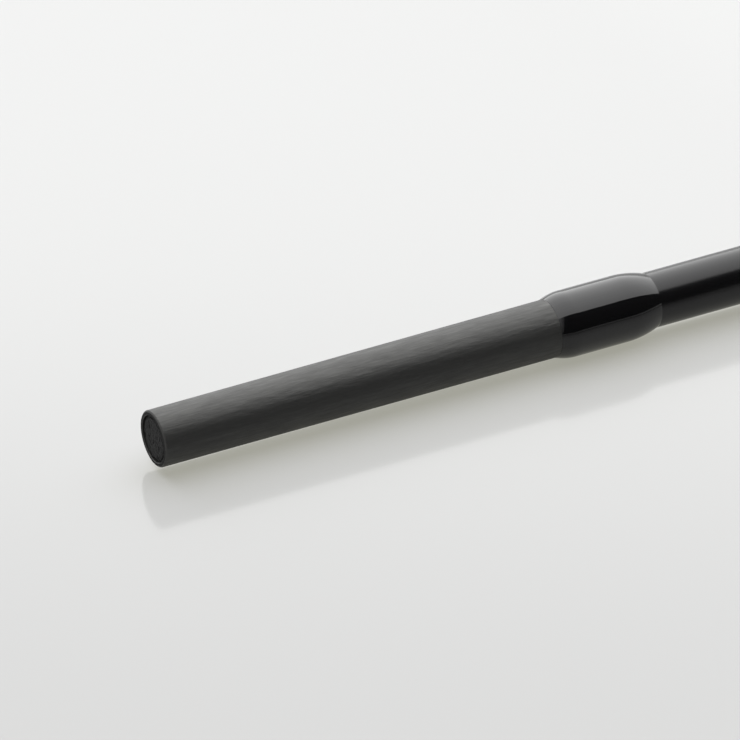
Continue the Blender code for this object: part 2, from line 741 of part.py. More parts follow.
def grips():
    """The fore grip ahead of the seat, the rear grip at the butt, and their checks."""
    rear = SEAT_FRONT - SEAT_GAP
    front = rear - FORE_GRIP_LENGTH
    small = FORE_GRIP_FRONT_DIAMETER / 2
    large = FORE_GRIP_REAR_DIAMETER / 2
    profile = [
        (front, small - GRIP_CHAMFER), (front + GRIP_CHAMFER, small),
        (rear - GRIP_CHAMFER, large), (rear, large - GRIP_CHAMFER),
    ]
    sleeve("fore_grip", profile, butt_radius, FOAM, ROD)
    thin = butt_radius(front) + BOND_GAP + CHECK_WALL / 2
    check("fore_grip_check", front - SEAT_GAP - CHECK_LENGTH, thin, thin + CHECK_WALL / 2)

    seat_rear = SEAT_FRONT + SEAT_LENGTH + SEAT_GAP
    thin = butt_radius(seat_rear) + BOND_GAP + CHECK_WALL / 2
    check("seat_rear_check", seat_rear, SEAT_DIAMETER / 2, thin)

    rear = SECTION - BUTT_CAP_LENGTH - SEAT_GAP
    front = rear - REAR_GRIP_LENGTH
    profile = [
        (front, REAR_GRIP_FRONT_DIAMETER / 2 - GRIP_CHAMFER),
        (front + GRIP_CHAMFER, REAR_GRIP_FRONT_DIAMETER / 2),
        (front + REAR_GRIP_WAIST_AT, REAR_GRIP_WAIST_DIAMETER / 2),
        (rear - REAR_GRIP_SWELL_LENGTH, REAR_GRIP_BUTT_DIAMETER / 2),
        (rear - GRIP_CHAMFER, REAR_GRIP_BUTT_DIAMETER / 2),
        (rear, REAR_GRIP_BUTT_DIAMETER / 2 - GRIP_CHAMFER),
    ]
    sleeve("rear_grip", profile, butt_radius, FOAM, ROD)
    thin = butt_radius(front) + BOND_GAP + CHECK_WALL / 2
    check("rear_grip_check", front - SEAT_GAP - CHECK_LENGTH, thin, thin + CHECK_WALL / 2)


def butt_cap():
    """The cap that closes the butt, with a flat metal disc let into its end."""
    radius = BUTT_CAP_DIAMETER / 2
    front = SECTION - BUTT_CAP_LENGTH
    floor = SECTION - BUTT_DISC_THICKNESS - SEAT_GAP
    rim = SECTION - BUTT_DISC_PROUD
    socket_end = BLANK_END + SEAT_GAP
    socket = butt_radius(BLANK_END) + SEAT_GAP
    recess = BUTT_DISC_DIAMETER / 2 + BOND_GAP
    edge = quarter(rim, rim - BUTT_CAP_ROUND, radius - BUTT_CAP_ROUND, radius)
    profile = [(floor, 0), (floor, recess), (rim, recess), *edge]
    profile += [
        (front + GRIP_CHAMFER, radius), (front, radius - GRIP_CHAMFER),
        (front, socket), (socket_end, socket), (socket_end, 0),
    ]
    turned("butt_cap", profile, FOAM, ROD)
    disc_back = SECTION - BUTT_DISC_THICKNESS
    disc = BUTT_DISC_DIAMETER / 2
    profile = [(disc_back, 0), (disc_back, disc), (SECTION, disc), (SECTION, 0)]
    turned("butt_cap_disc", profile, DARK_METAL, ROD)


def tip_blank():
    """The tip section's tube: female bore at one end, fine tip at the other."""
    outer = [(-x, radius) for x, radius in TIP_PROFILE]
    ramp_end = OVERLAP + FEMALE_RAMP
    inner = [
        (-TIP_BLANK_END, TIP_END_DIAMETER / 2 - TIP_END_WALL),
        (-ramp_end, TIP_BLANK_DIAMETER / 2 - TIP_BLANK_WALL),
        (-OVERLAP, bore_radius(OVERLAP)),
        (0, bore_radius(0)),
    ]
    turned("tip_blank", outer + inner, GLOSS_CARBON, TIP_SECTION)


butt_blank()
ferrule_end_plug()
plain_whipping(
    "ferrule_whipping", butt_radius, MALE_LENGTH, WHIP_END,
    (SHOULDER, SHOULDER + LAMINATE_RAMP), FERRULE_WHIP_DIAMETER / 2,
    FERRULE_WHIP_FRONT, FERRULE_WHIP_REAR, ROD,
)
guide_assembly("guide_50", BUTT_GUIDE, butt_radius, BUTT_GUIDE_X, ROD)
grips()
reel_seat()
lock_nut_and_hood()
butt_cap()

tip_blank()
FEMALE_WHIP_END = -FEMALE_WHIP_SETBACK
plain_whipping(
    "female_ferrule_whipping", tip_radius, FEMALE_WHIP_END - FEMALE_WHIP_LENGTH,
    FEMALE_WHIP_END, (), tip_radius(0) + BOND_GAP + FEMALE_WHIP_COAT,
    FEMALE_WHIP_SHOULDER, FEMALE_WHIP_SHOULDER, TIP_SECTION,
)
for listed in GUIDES[1:]:
    tip_guide, from_tip = listed_guide(listed)
    label = f"guide_{round(tip_guide.ring * 1000)}"
    guide_assembly(label, tip_guide, tip_radius, from_tip - SECTION, TIP_SECTION)
tip_top()
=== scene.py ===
"""A two-piece spod rod, lying with its tip section pulled off the ground male ferrule."""
import math

import bmesh
import bpy
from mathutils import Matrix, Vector, noise


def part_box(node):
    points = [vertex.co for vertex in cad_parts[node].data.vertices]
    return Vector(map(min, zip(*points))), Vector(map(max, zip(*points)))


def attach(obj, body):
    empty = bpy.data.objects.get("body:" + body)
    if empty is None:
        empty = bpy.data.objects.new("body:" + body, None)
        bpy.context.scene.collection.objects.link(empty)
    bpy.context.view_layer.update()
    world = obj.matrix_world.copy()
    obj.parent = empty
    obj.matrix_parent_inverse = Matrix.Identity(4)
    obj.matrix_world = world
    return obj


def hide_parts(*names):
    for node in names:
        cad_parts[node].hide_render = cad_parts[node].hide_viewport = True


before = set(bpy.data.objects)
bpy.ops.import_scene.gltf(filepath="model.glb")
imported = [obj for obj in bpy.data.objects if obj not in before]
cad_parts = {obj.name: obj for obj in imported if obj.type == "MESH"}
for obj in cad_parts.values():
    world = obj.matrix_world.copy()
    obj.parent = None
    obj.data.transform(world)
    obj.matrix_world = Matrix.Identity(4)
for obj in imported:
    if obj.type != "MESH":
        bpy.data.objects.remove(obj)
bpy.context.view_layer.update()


# The camera stands in front of the joint, to its left and above it, with a long lens. Its place is
# worked back from the pixel of the picture that shows the middle of the male's free end.

PICTURE_PX = 740
SENSOR_MM = 36
FOCAL_PX = 5500
AZIMUTH = math.radians(-27.824)
ELEVATION = math.radians(31.952)
END_DISTANCE = 1.3344
END_PX = (152.8, 439.3)
CLIP_START = 0.05
CLIP_END = 200

blank_low, blank_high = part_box("butt_blank")
male_end = Vector((blank_low.x, (blank_low.y + blank_high.y) / 2, (blank_low.z + blank_high.z) / 2))

back = Vector((
    math.sin(AZIMUTH) * math.cos(ELEVATION),
    -math.cos(AZIMUTH) * math.cos(ELEVATION),
    math.sin(ELEVATION),
))
right = Vector((math.cos(AZIMUTH), math.sin(AZIMUTH), 0))
up = back.cross(right)
metres_per_px = END_DISTANCE / FOCAL_PX
lens_offset = (
    right * (PICTURE_PX / 2 - END_PX[0]) * metres_per_px
    + up * (END_PX[1] - PICTURE_PX / 2) * metres_per_px
)
camera_data = bpy.data.cameras.new("camera")
camera_data.sensor_width = SENSOR_MM
camera_data.lens = SENSOR_MM * FOCAL_PX / PICTURE_PX
camera_data.clip_start = CLIP_START
camera_data.clip_end = CLIP_END
camera = bpy.data.objects.new("camera", camera_data)
camera.location = male_end + back * END_DISTANCE + lens_offset
camera.rotation_euler = (math.pi / 2 - ELEVATION, 0, AZIMUTH)
bpy.context.scene.collection.objects.link(camera)
bpy.context.scene.camera = camera
bpy.context.scene.view_settings.view_transform = "Standard"


# The floor is a sheet of glossy pale acrylic that glows a little: painted light that lifts the
# rod's shadow on it. It rises by 6 mm under the joint, where the rod rests in the picture, and
# turns matt and then white further out.

RISE = 0.0060
RISE_FROM = male_end.x - 0.110
RISE_TO = male_end.x + 0.210
RISE_FALL = 0.130
RISE_DEPTH = 0.300
FLOOR_REACH = 90.0
FINE_COLUMNS = (0.45, 0.01)
FINE_ROWS = (0.70, 0.02)
WIDENING = 0.5
# The floor's colour goes from FLOOR_FRONT to FLOOR_BACK between these depths: painted shade at the
# front, painted light at the back.
FALLOFF_FROM = -0.07
FALLOFF_TO = 0.18
MATT_FADE = (0.20, 0.90)
WHITE_FADE = (1.5, 9.0)
FLOOR_FRONT = "#797A83"
FLOOR_BACK = "#8D8E95"
FLOOR_FAR = "#86878C"
# The floor's glow is painted light: an emission that lifts the rod's shadow on the floor.
GLOW_COLOUR = "#FFFEEE"
GLOW = 0.378
MATT_GLOW = 0.385


def linear(hexadecimal):
    """The linear colour, with alpha, of an sRGB hex value."""
    channels = [int(hexadecimal[i:i + 2], 16) / 255 for i in (1, 3, 5)]
    bent = [c / 12.92 if c <= 0.04045 else ((c + 0.055) / 1.055) ** 2.4 for c in channels]
    return (*bent, 1)


def add(tree, kind, inputs=(), **settings):
    """Adds a node. Each of its inputs takes a value, or the output of another node."""
    made = tree.nodes.new(kind)
    for name, value in settings.items():
        setattr(made, name, value)
    for socket, value in dict(inputs).items():
        if isinstance(value, bpy.types.NodeSocket):
            tree.links.new(value, made.inputs[socket])
        else:
            made.inputs[socket].default_value = value
    return made


def new_material(name):
    """An empty material and its node tree."""
    made = bpy.data.materials.new(name)
    made.use_nodes = True
    made.node_tree.nodes.clear()
    return made, made.node_tree


def ease(x, start, end):
    """0 before start, 1 after end, and smooth between."""
    t = min(1, max(0, (x - start) / (end - start)))
    return t * t * (3 - 2 * t)


def floor_height(x, y):
    """Height of the floor, which swells gently under the joint."""
    along = ease(x, RISE_FROM - RISE_FALL, RISE_FROM) * (1 - ease(x, RISE_TO, RISE_TO + RISE_FALL))
    away = abs(y - male_end.y)
    return RISE * along * (1 - ease(away, RISE_DEPTH, 2 * RISE_DEPTH))


def spaced(reach, fine, step):
    """Coordinates from -reach to reach, evenly stepped out to fine and then ever wider."""
    half = [step * i for i in range(int(fine / step) + 1)]
    while half[-1] < reach:
        half.append(half[-1] + max(step, half[-1] * WIDENING))
    return [-value for value in reversed(half[1:])] + half


columns = spaced(FLOOR_REACH, *FINE_COLUMNS)
rows = spaced(FLOOR_REACH, *FINE_ROWS)
points = [(x, y, floor_height(x, y)) for y in rows for x in columns]
quads = []
for j in range(len(rows) - 1):
    for i in range(len(columns) - 1):
        corner = j * len(columns) + i
        quads.append((corner, corner + 1, corner + 1 + len(columns), corner + len(columns)))
floor_mesh = bpy.data.meshes.new("floor")
floor_mesh.from_pydata(points, [], quads)
floor_mesh.shade_smooth()
floor = bpy.data.objects.new("floor", floor_mesh)
bpy.context.scene.collection.objects.link(floor)


# Cast acrylic, polished on top: a soft mirror image of what lies on it, over a pale glow. Its
# colour is painted darker towards the front and paler towards the back: a painted falloff of light.
acrylic, tree = new_material("pale_cast_acrylic")
place = add(tree, "ShaderNodeTexCoord").outputs["Object"]
depth = add(tree, "ShaderNodeVectorMath", {
    0: place, 1: (-math.sin(AZIMUTH), math.cos(AZIMUTH), 0),
}, operation="DOT_PRODUCT")
depth = add(tree, "ShaderNodeMapRange", {
    "Value": depth.outputs["Value"], "From Min": FALLOFF_FROM, "From Max": FALLOFF_TO,
}, interpolation_type="SMOOTHSTEP")
# Painted falloff of light: the floor's colour is darker towards the front and paler towards the
# back.
painted_falloff = add(tree, "ShaderNodeMix", {
    "Factor": depth.outputs["Result"], "A": linear(FLOOR_FRONT), "B": linear(FLOOR_BACK),
}, data_type="RGBA")
# The glow is painted light that lifts the rod's shadow. It is dimmed where the floor is seen at a
# grazing angle.
skimming = add(tree, "ShaderNodeFresnel", {"IOR": 1.45})
glow = add(tree, "ShaderNodeMapRange", {
    "Value": skimming.outputs[0], "To Min": GLOW, "To Max": 0.0,
})
glossy = add(tree, "ShaderNodeBsdfPrincipled", {
    "Base Color": painted_falloff.outputs["Result"], "Roughness": 0.12, "IOR": 1.27,
    "Emission Color": linear(GLOW_COLOUR), "Emission Strength": glow.outputs["Result"],
})
matt = add(tree, "ShaderNodeBsdfPrincipled", {
    "Base Color": linear(FLOOR_FAR), "Roughness": 1.0, "IOR": 1.0,
    "Emission Color": linear(GLOW_COLOUR), "Emission Strength": MATT_GLOW,
})
white = add(tree, "ShaderNodeEmission", {"Color": (1, 1, 1, 1), "Strength": 1.0})
distance = add(tree, "ShaderNodeVectorMath", {0: place}, operation="LENGTH")
mixed = glossy
for (near, far), beyond in ((MATT_FADE, matt), (WHITE_FADE, white)):
    fade = add(tree, "ShaderNodeMapRange", {
        "Value": distance.outputs["Value"], "From Min": near, "From Max": far,
    }, interpolation_type="SMOOTHSTEP")
    mixed = add(tree, "ShaderNodeMixShader", {
        "Fac": fade.outputs["Result"], 1: mixed.outputs[0], 2: beyond.outputs[0],
    })
add(tree, "ShaderNodeOutputMaterial", {"Surface": mixed.outputs[0]})
floor.data.materials.append(acrylic)


# The studio: a wide soft box overhead that ends in front of the rod and grows brighter towards the
# back, a pale room whose far side is lit, and a black curtain below the box's front edge, which
# only reflections see.

BOX_HEIGHT = 3.0
BOX_FRONT = -0.591 * BOX_HEIGHT
BOX_BACK = 24.0
BOX_LEFT = -2.0
BOX_RIGHT = 8.0
FRONT_RADIANCE = 1.45
ROW_RADIANCE = 0.21
ROW_DROP = 0.02
ROW_FRONTS = (-1.2, -0.7, -0.2, 0.4, 1.0)
CURTAIN_LEFT = -0.45
CURTAIN_RIGHT = 7.0
ROOM_LIGHT = 0.05
BACK_LIGHT = 0.4

for row, front in enumerate((BOX_FRONT, *ROW_FRONTS)):
    radiance = ROW_RADIANCE if row else FRONT_RADIANCE
    box_size = (BOX_RIGHT - BOX_LEFT, BOX_BACK - front)
    soft_box = bpy.data.lights.new("soft_box", "AREA")
    soft_box.shape = "RECTANGLE"
    soft_box.size = box_size[0]
    soft_box.size_y = box_size[1]
    soft_box.energy = radiance * math.pi * box_size[0] * box_size[1]
    lamp = bpy.data.objects.new("soft_box", soft_box)
    lamp.location = (
        (BOX_LEFT + BOX_RIGHT) / 2, male_end.y + (front + BOX_BACK) / 2,
        male_end.z + BOX_HEIGHT - ROW_DROP * row,
    )
    lamp.visible_camera = False
    bpy.context.scene.collection.objects.link(lamp)

curtain_mesh = bpy.data.meshes.new("curtain")
curtain_y = male_end.y + BOX_FRONT
curtain_mesh.from_pydata(
    [
        (CURTAIN_LEFT, curtain_y, 0), (CURTAIN_RIGHT, curtain_y, 0),
        (CURTAIN_RIGHT, curtain_y, BOX_HEIGHT + male_end.z),
        (CURTAIN_LEFT, curtain_y, BOX_HEIGHT + male_end.z),
    ],
    [], [(0, 1, 2, 3)],
)
curtain = bpy.data.objects.new("curtain", curtain_mesh)
bpy.context.scene.collection.objects.link(curtain)
curtain.visible_camera = False
curtain.visible_diffuse = False
curtain.visible_shadow = False
curtain.visible_transmission = False

# Black cloth gives nothing back: where it is reflected, gloss goes black.
black_cloth, tree = new_material("black_cloth")
dark = add(tree, "ShaderNodeEmission", {"Color": (0, 0, 0, 1), "Strength": 0.0})
add(tree, "ShaderNodeOutputMaterial", {"Surface": dark.outputs[0]})
curtain_mesh.materials.append(black_cloth)

world = bpy.data.worlds.new("room")
world.use_nodes = True
bpy.context.scene.world = world
tree = world.node_tree
tree.nodes.clear()
rays = add(tree, "ShaderNodeLightPath")
seen = add(tree, "ShaderNodeMath", {
    0: rays.outputs["Is Camera Ray"], 1: rays.outputs["Is Glossy Ray"],
}, operation="MAXIMUM")
seen = add(tree, "ShaderNodeMath", {
    0: seen.outputs[0], 1: rays.outputs["Is Transmission Ray"],
}, operation="MAXIMUM")
heading = add(tree, "ShaderNodeTexCoord").outputs["Generated"]
heading = add(tree, "ShaderNodeSeparateXYZ", {0: heading})
behind = add(tree, "ShaderNodeMapRange", {
    "Value": heading.outputs["Y"], "From Min": 0.1, "From Max": 0.7,
    "To Min": ROOM_LIGHT, "To Max": ROOM_LIGHT + BACK_LIGHT,
}, interpolation_type="SMOOTHSTEP")
strength = add(tree, "ShaderNodeMapRange", {
    "Value": seen.outputs[0], "To Min": behind.outputs["Result"], "To Max": 1.0,
})
pale = add(tree, "ShaderNodeBackground", {
    "Color": (1, 1, 1, 1), "Strength": strength.outputs["Result"],
})
add(tree, "ShaderNodeOutputWorld", {"Surface": pale.outputs[0]})


# The butt section's blank: a rolled carbon tube. Its upper end is ground bare and to size, so that
# it fits the tip section; the rest keeps its clear lacquer. Turned as one tube, with the bore.

MALE_LENGTH = 0.110
MALE_END_RADIUS = 0.0072
MALE_ROOT_RADIUS = 0.0075
BLANK_TOP_RADIUS = 0.00715
BLANK_BUTT_RADIUS = 0.00925
TUBE_WALL = 0.0012
LAMINATE = 0.010
LACQUER_RAMP = 0.012
RIM_BEVEL = 0.0004
RIM_EASE = 0.00012
BORE_BEVEL = 0.00015
STEP_EDGE = 0.0005
THIN_BORE = 0.015
LACQUER_FROM = 0.002
CUT_FACE_DEPTH = 0.00005
BUTT_STATIONS = (0.5, 1.0, 1.4)
SMOOTH_ANGLE = math.radians(35)


def evenly(low, high, count):
    """Values from low to high in a number of even steps."""
    return [low + (high - low) * i / count for i in range(count + 1)]


def all_round(count):
    """A number of angles in even steps once round."""
    return [2 * math.pi * i / count for i in range(count)]


def finish_mesh(bm, name, look, body, slot, *nodes):
    """Turns a bmesh into a piece that rides on a body and stands for CAD nodes."""
    bmesh.ops.recalc_face_normals(bm, faces=bm.faces[:])
    mesh = bpy.data.meshes.new(name)
    bm.to_mesh(mesh)
    bm.free()
    mesh.shade_smooth()
    mesh.set_sharp_from_angle(angle=SMOOTH_ANGLE)
    for material in look if isinstance(look, tuple) else (look,):
        mesh.materials.append(material)
    piece = bpy.data.objects.new(name, mesh)
    bpy.context.scene.collection.objects.link(piece)
    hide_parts(*nodes)
    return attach(piece, body)


def turned(profile, sides=96, centre=(male_end.y, male_end.z)):
    """A closed solid of revolution about a line along x, from a loop of (x, radius) points.

    A loop whose first and last points lie on the line makes a solid body, any other a ring.
    """
    bm = bmesh.new()
    solid = profile[0][1] == 0
    rings = []
    for x, radius in profile:
        if radius == 0:
            rings.append([bm.verts.new((x, centre[0], centre[1]))])
            continue
        rings.append([
            bm.verts.new((x, centre[0] - radius * math.sin(t), centre[1] + radius * math.cos(t)))
            for t in all_round(sides)
        ])
    pairs = list(zip(rings, rings[1:]))
    if not solid:
        pairs.append((rings[-1], rings[0]))
    for near, far in pairs:
        for i in range(sides):
            j = (i + 1) % sides
            if len(near) == 1:
                bm.faces.new((near[0], far[j], far[i]))
            elif len(far) == 1:
                bm.faces.new((near[i], near[j], far[0]))
            else:
                bm.faces.new((near[i], near[j], far[j], far[i]))
    return bm


def rounded(corners, radius, steps=4):
    """A profile with its corners rounded off, apart from its two ends."""
    made = [corners[0]]
    for before, corner, after in zip(corners, corners[1:], corners[2:]):
        a, b, c = Vector(before), Vector(corner), Vector(after)
        cut = min(radius, (a - b).length * 0.45, (c - b).length * 0.45)
        p = b + (a - b).normalized() * cut
        q = b + (c - b).normalized() * cut
        for t in evenly(0, 1, steps):
            point = p * (1 - t) ** 2 + b * 2 * t * (1 - t) + q * t * t
            made.append((point.x, point.y))
    made.append(corners[-1])
    return made


def rounded_loop(corners, radius, steps=4):
    """A closed profile with all its corners rounded off."""
    return rounded(corners + corners[:2], radius, steps)[1:-1]


def line(x, x0, x1, low, high):
    """The value at x on the straight line from (x0, low) to (x1, high)."""
    return low + (high - low) * (x - x0) / (x1 - x0)


male_root = male_end.x + MALE_LENGTH
laminate_end = male_root + LAMINATE
blank_top = laminate_end + LACQUER_RAMP
butt_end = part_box("butt_cap_disc")[1].x


def butt_radius(x):
    """Outer radius of the butt section's blank at x."""
    if x < laminate_end:
        return line(x, male_end.x, male_root, MALE_END_RADIUS, MALE_ROOT_RADIUS)
    if x < blank_top:
        return line(x, laminate_end, blank_top, butt_radius(laminate_end - 1e-6), BLANK_TOP_RADIUS)
    return line(x, blank_top, butt_end, BLANK_TOP_RADIUS, BLANK_BUTT_RADIUS)


# Carbon laminate, ground to size and left bare: a dull grey-black, with fine streaks along the
# tube and a faint mottle where one ply gives way to the next.
STREAK_SIZE = (0.01111, 0.0004167, 0.0004167)
MOTTLE_SIZE = (0.005263, 0.001613, 0.001613)
STREAK_DEPTH = 0.00004
MOTTLE_DEPTH = 0.00017

ground_carbon, tree = new_material("ground_carbon")
place = add(tree, "ShaderNodeTexCoord").outputs["Object"]
fine = add(tree, "ShaderNodeMapping", {
    "Vector": place, "Scale": [1 / size for size in STREAK_SIZE],
})
streaks = add(tree, "ShaderNodeTexNoise", {
    "Vector": fine.outputs[0], "Scale": 1.0, "Detail": 3.0, "Roughness": 0.6,
})
wide = add(tree, "ShaderNodeMapping", {
    "Vector": place, "Scale": [1 / size for size in MOTTLE_SIZE],
})
mottle = add(tree, "ShaderNodeTexNoise", {
    "Vector": wide.outputs[0], "Scale": 1.0, "Detail": 4.0, "Roughness": 0.55,
})
tone = add(tree, "ShaderNodeMath", {
    0: streaks.outputs["Fac"], 1: mottle.outputs["Fac"],
}, operation="MULTIPLY")
shade = add(tree, "ShaderNodeValToRGB", {"Fac": tone.outputs[0]})
shade.color_ramp.elements[0].position = 0.12
shade.color_ramp.elements[0].color = linear("#020202")
shade.color_ramp.elements[1].position = 0.42
shade.color_ramp.elements[1].color = linear("#171716")
grain = add(tree, "ShaderNodeMapRange", {
    "Value": tone.outputs[0], "From Min": 0.1, "From Max": 0.45, "To Min": 0.62, "To Max": 0.46,
})
blotches = add(tree, "ShaderNodeBump", {
    "Height": mottle.outputs["Fac"], "Strength": 1.0, "Distance": MOTTLE_DEPTH,
})
relief = add(tree, "ShaderNodeBump", {
    "Height": streaks.outputs["Fac"], "Strength": 1.0, "Distance": STREAK_DEPTH,
    "Normal": blotches.outputs["Normal"],
})
shader = add(tree, "ShaderNodeBsdfPrincipled", {
    "Base Color": shade.outputs["Color"], "Roughness": grain.outputs["Result"],
    "Normal": relief.outputs["Normal"], "IOR": 1.6, "Specular Tint": linear("#FEFEFB"),
})
add(tree, "ShaderNodeOutputMaterial", {"Surface": shader.outputs[0]})

# The same laminate, cut square: dead black, with the ends of the plies just telling.
PLY_SIZE = 0.0003846

cut_laminate, tree = new_material("cut_laminate")
place = add(tree, "ShaderNodeTexCoord").outputs["Object"]
plies = add(tree, "ShaderNodeTexNoise", {"Vector": place, "Scale": 1 / PLY_SIZE, "Detail": 3.0})
shade = add(tree, "ShaderNodeValToRGB", {"Fac": plies.outputs["Fac"]})
shade.color_ramp.elements[0].position = 0.35
shade.color_ramp.elements[0].color = linear("#070707")
shade.color_ramp.elements[1].position = 0.70
shade.color_ramp.elements[1].color = linear("#1C1C1C")
shader = add(tree, "ShaderNodeBsdfPrincipled", {
    "Base Color": shade.outputs["Color"], "Roughness": 0.65, "IOR": 1.25,
})
add(tree, "ShaderNodeOutputMaterial", {"Surface": shader.outputs[0]})

# Clear lacquer wiped over rolled carbon: gloss black, whose reflections waver a little where the
# lacquer flowed.
LACQUER_WAVE = (0.01667, 0.004167, 0.004167)

lacquered_carbon, tree = new_material("lacquered_carbon")
place = add(tree, "ShaderNodeTexCoord").outputs["Object"]
flow = add(tree, "ShaderNodeMapping", {
    "Vector": place, "Scale": [1 / size for size in LACQUER_WAVE],
})
waves = add(tree, "ShaderNodeTexNoise", {"Vector": flow.outputs[0], "Scale": 1.0, "Detail": 1.0})
relief = add(tree, "ShaderNodeBump", {
    "Height": waves.outputs["Fac"], "Strength": 0.10, "Distance": 0.0002,
})
shader = add(tree, "ShaderNodeBsdfPrincipled", {
    "Base Color": linear("#131314"), "Roughness": 0.20, "IOR": 1.40,
    "Normal": relief.outputs["Normal"],
})
add(tree, "ShaderNodeOutputMaterial", {"Surface": shader.outputs[0]})

outside = [
    (male_end.x, MALE_END_RADIUS - TUBE_WALL + BORE_BEVEL),
    (male_end.x, MALE_END_RADIUS - RIM_BEVEL),
    (male_end.x + RIM_BEVEL, butt_radius(male_end.x + RIM_BEVEL)),
    (laminate_end - STEP_EDGE, butt_radius(laminate_end - STEP_EDGE)),
]
outside = rounded(outside, RIM_EASE, 3)
stations = (laminate_end, blank_top, *BUTT_STATIONS, blank_high.x)
outside += [(x, butt_radius(x)) for x in stations]
inside = [
    (blank_high.x, butt_radius(blank_high.x) - TUBE_WALL),
    (blank_top, BLANK_TOP_RADIUS - TUBE_WALL),
    (male_end.x + THIN_BORE, MALE_END_RADIUS - TUBE_WALL),
    (male_end.x + BORE_BEVEL, MALE_END_RADIUS - TUBE_WALL),
]
bm = turned(outside + inside, sides=128)
for face in bm.faces:
    place = face.calc_center_median()
    if place.x > male_root + LACQUER_FROM:
        face.material_index = 1
    elif place.x < male_end.x + CUT_FACE_DEPTH:
        face.material_index = 2
finish_mesh(bm, "butt_section_tube", (ground_carbon, lacquered_carbon, cut_laminate),
            "butt_section", "carbon", "butt_blank")


# The plug in the male's end: a rough cast filler that keeps water out of the bore. It sits just
# below the rim, with a groove round it. Its face is rings, pushed in and out by a little noise.

PLUG_RECESS = 0.00025
PLUG_GROOVE = 0.00055
PLUG_GAP = 0.0001
PLUG_RINGS = 20
PLUG_SLOPE = ((0.00008, 0), (0.0003, 0.0001))
PLUG_SHOULDER = 0.0004
GRAIN_SCALE = 1900
GRAIN_DEPTH = 0.00008
PIT_SCALE = 900
PIT_SHARE = 0.15
PIT_DEPTH = 0.0005
plug_radius = MALE_END_RADIUS - TUBE_WALL - PLUG_GAP

# Cast filler, left as it set: rough and nearly black, with crumbs and pits that catch a little
# light.
FILLER_GRIT = 0.0004545

filler, tree = new_material("cast_filler")
place = add(tree, "ShaderNodeTexCoord").outputs["Object"]
grit = add(tree, "ShaderNodeTexNoise", {"Vector": place, "Scale": 1 / FILLER_GRIT, "Detail": 2.0})
shade = add(tree, "ShaderNodeValToRGB", {"Fac": grit.outputs["Fac"]})
shade.color_ramp.elements[0].position = 0.36
shade.color_ramp.elements[0].color = linear("#050505")
shade.color_ramp.elements[1].position = 0.74
shade.color_ramp.elements[1].color = linear("#262626")
relief = add(tree, "ShaderNodeBump", {
    "Height": grit.outputs["Fac"], "Strength": 1.0, "Distance": 0.0003,
})
shader = add(tree, "ShaderNodeBsdfPrincipled", {
    "Base Color": shade.outputs["Color"], "Roughness": 0.6, "IOR": 1.25,
    "Normal": relief.outputs["Normal"],
})
add(tree, "ShaderNodeOutputMaterial", {"Surface": shader.outputs[0]})

face_x = male_end.x + PLUG_RECESS
plug_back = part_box("ferrule_end_plug")[1].x
flat = plug_radius - PLUG_GROOVE
profile = [(face_x, 0)]
profile += [(face_x, flat * i / PLUG_RINGS) for i in range(1, PLUG_RINGS)]
profile += [(face_x + along, flat + out) for along, out in PLUG_SLOPE]
profile += [(face_x + PLUG_SHOULDER, plug_radius), (plug_back, plug_radius), (plug_back, 0)]
bm = turned(profile, sides=96)
for vert in bm.verts:
    if vert.co.x < face_x + PLUG_SHOULDER / 2:
        pit = min(0, noise.noise(vert.co * PIT_SCALE) + PIT_SHARE)
        vert.co.x += noise.noise(vert.co * GRAIN_SCALE) * GRAIN_DEPTH - pit * PIT_DEPTH
finish_mesh(bm, "end_plug", filler, "butt_section", "plug", "ferrule_end_plug")


# The ferrule whipping: thread wound tightly at the male's root, under several coats of clear
# high-gloss resin that slump into long rounded shoulders. The thread just shows as fine ridges.

WHIP_RADIUS = 0.00865
WHIP_FRONT = 0.0054
WHIP_REAR = 0.0085
WHIP_EDGE = 0.00003
WHIP_SUNK = 0.00005

# Two-part rod resin, turned while it set, over black thread: a glassy black coat with slow waves,
# in which the windings still show as the finest of ridges.
RESIN_WAVE = 0.005556
WINDING_PITCH = 0.00024
WAVES_AT_SCALE_1 = 10 / math.pi

resin, tree = new_material("rod_builders_resin")
place = add(tree, "ShaderNodeTexCoord").outputs["Object"]
flow = add(tree, "ShaderNodeMapping", {"Vector": place, "Scale": [1 / RESIN_WAVE] * 3})
waves = add(tree, "ShaderNodeTexNoise", {"Vector": flow.outputs[0], "Scale": 1.0, "Detail": 1.0})
uneven = add(tree, "ShaderNodeBump", {
    "Height": waves.outputs["Fac"], "Strength": 0.10, "Distance": 0.0003,
})
windings = add(tree, "ShaderNodeTexWave", {
    "Vector": place, "Scale": 1 / WINDING_PITCH / WAVES_AT_SCALE_1,
    "Distortion": 1.0, "Detail": 1.0,
}, bands_direction="X")
relief = add(tree, "ShaderNodeBump", {
    "Height": windings.outputs["Fac"], "Strength": 0.15, "Distance": 0.00002,
    "Normal": uneven.outputs["Normal"],
})
shader = add(tree, "ShaderNodeBsdfPrincipled", {
    "Base Color": linear("#131314"), "Roughness": 0.03, "IOR": 1.45,
    "Normal": relief.outputs["Normal"],
})
add(tree, "ShaderNodeOutputMaterial", {"Surface": shader.outputs[0]})


def shoulder(x0, x1, low, high, steps=14):
    """Points from (x0, low) up the rounded shoulder of a resin coat to (x1, high)."""
    lefts = evenly(1, 0, steps)
    return [(x1 + (x0 - x1) * left, high + (low - high) * left ** 2) for left in lefts]


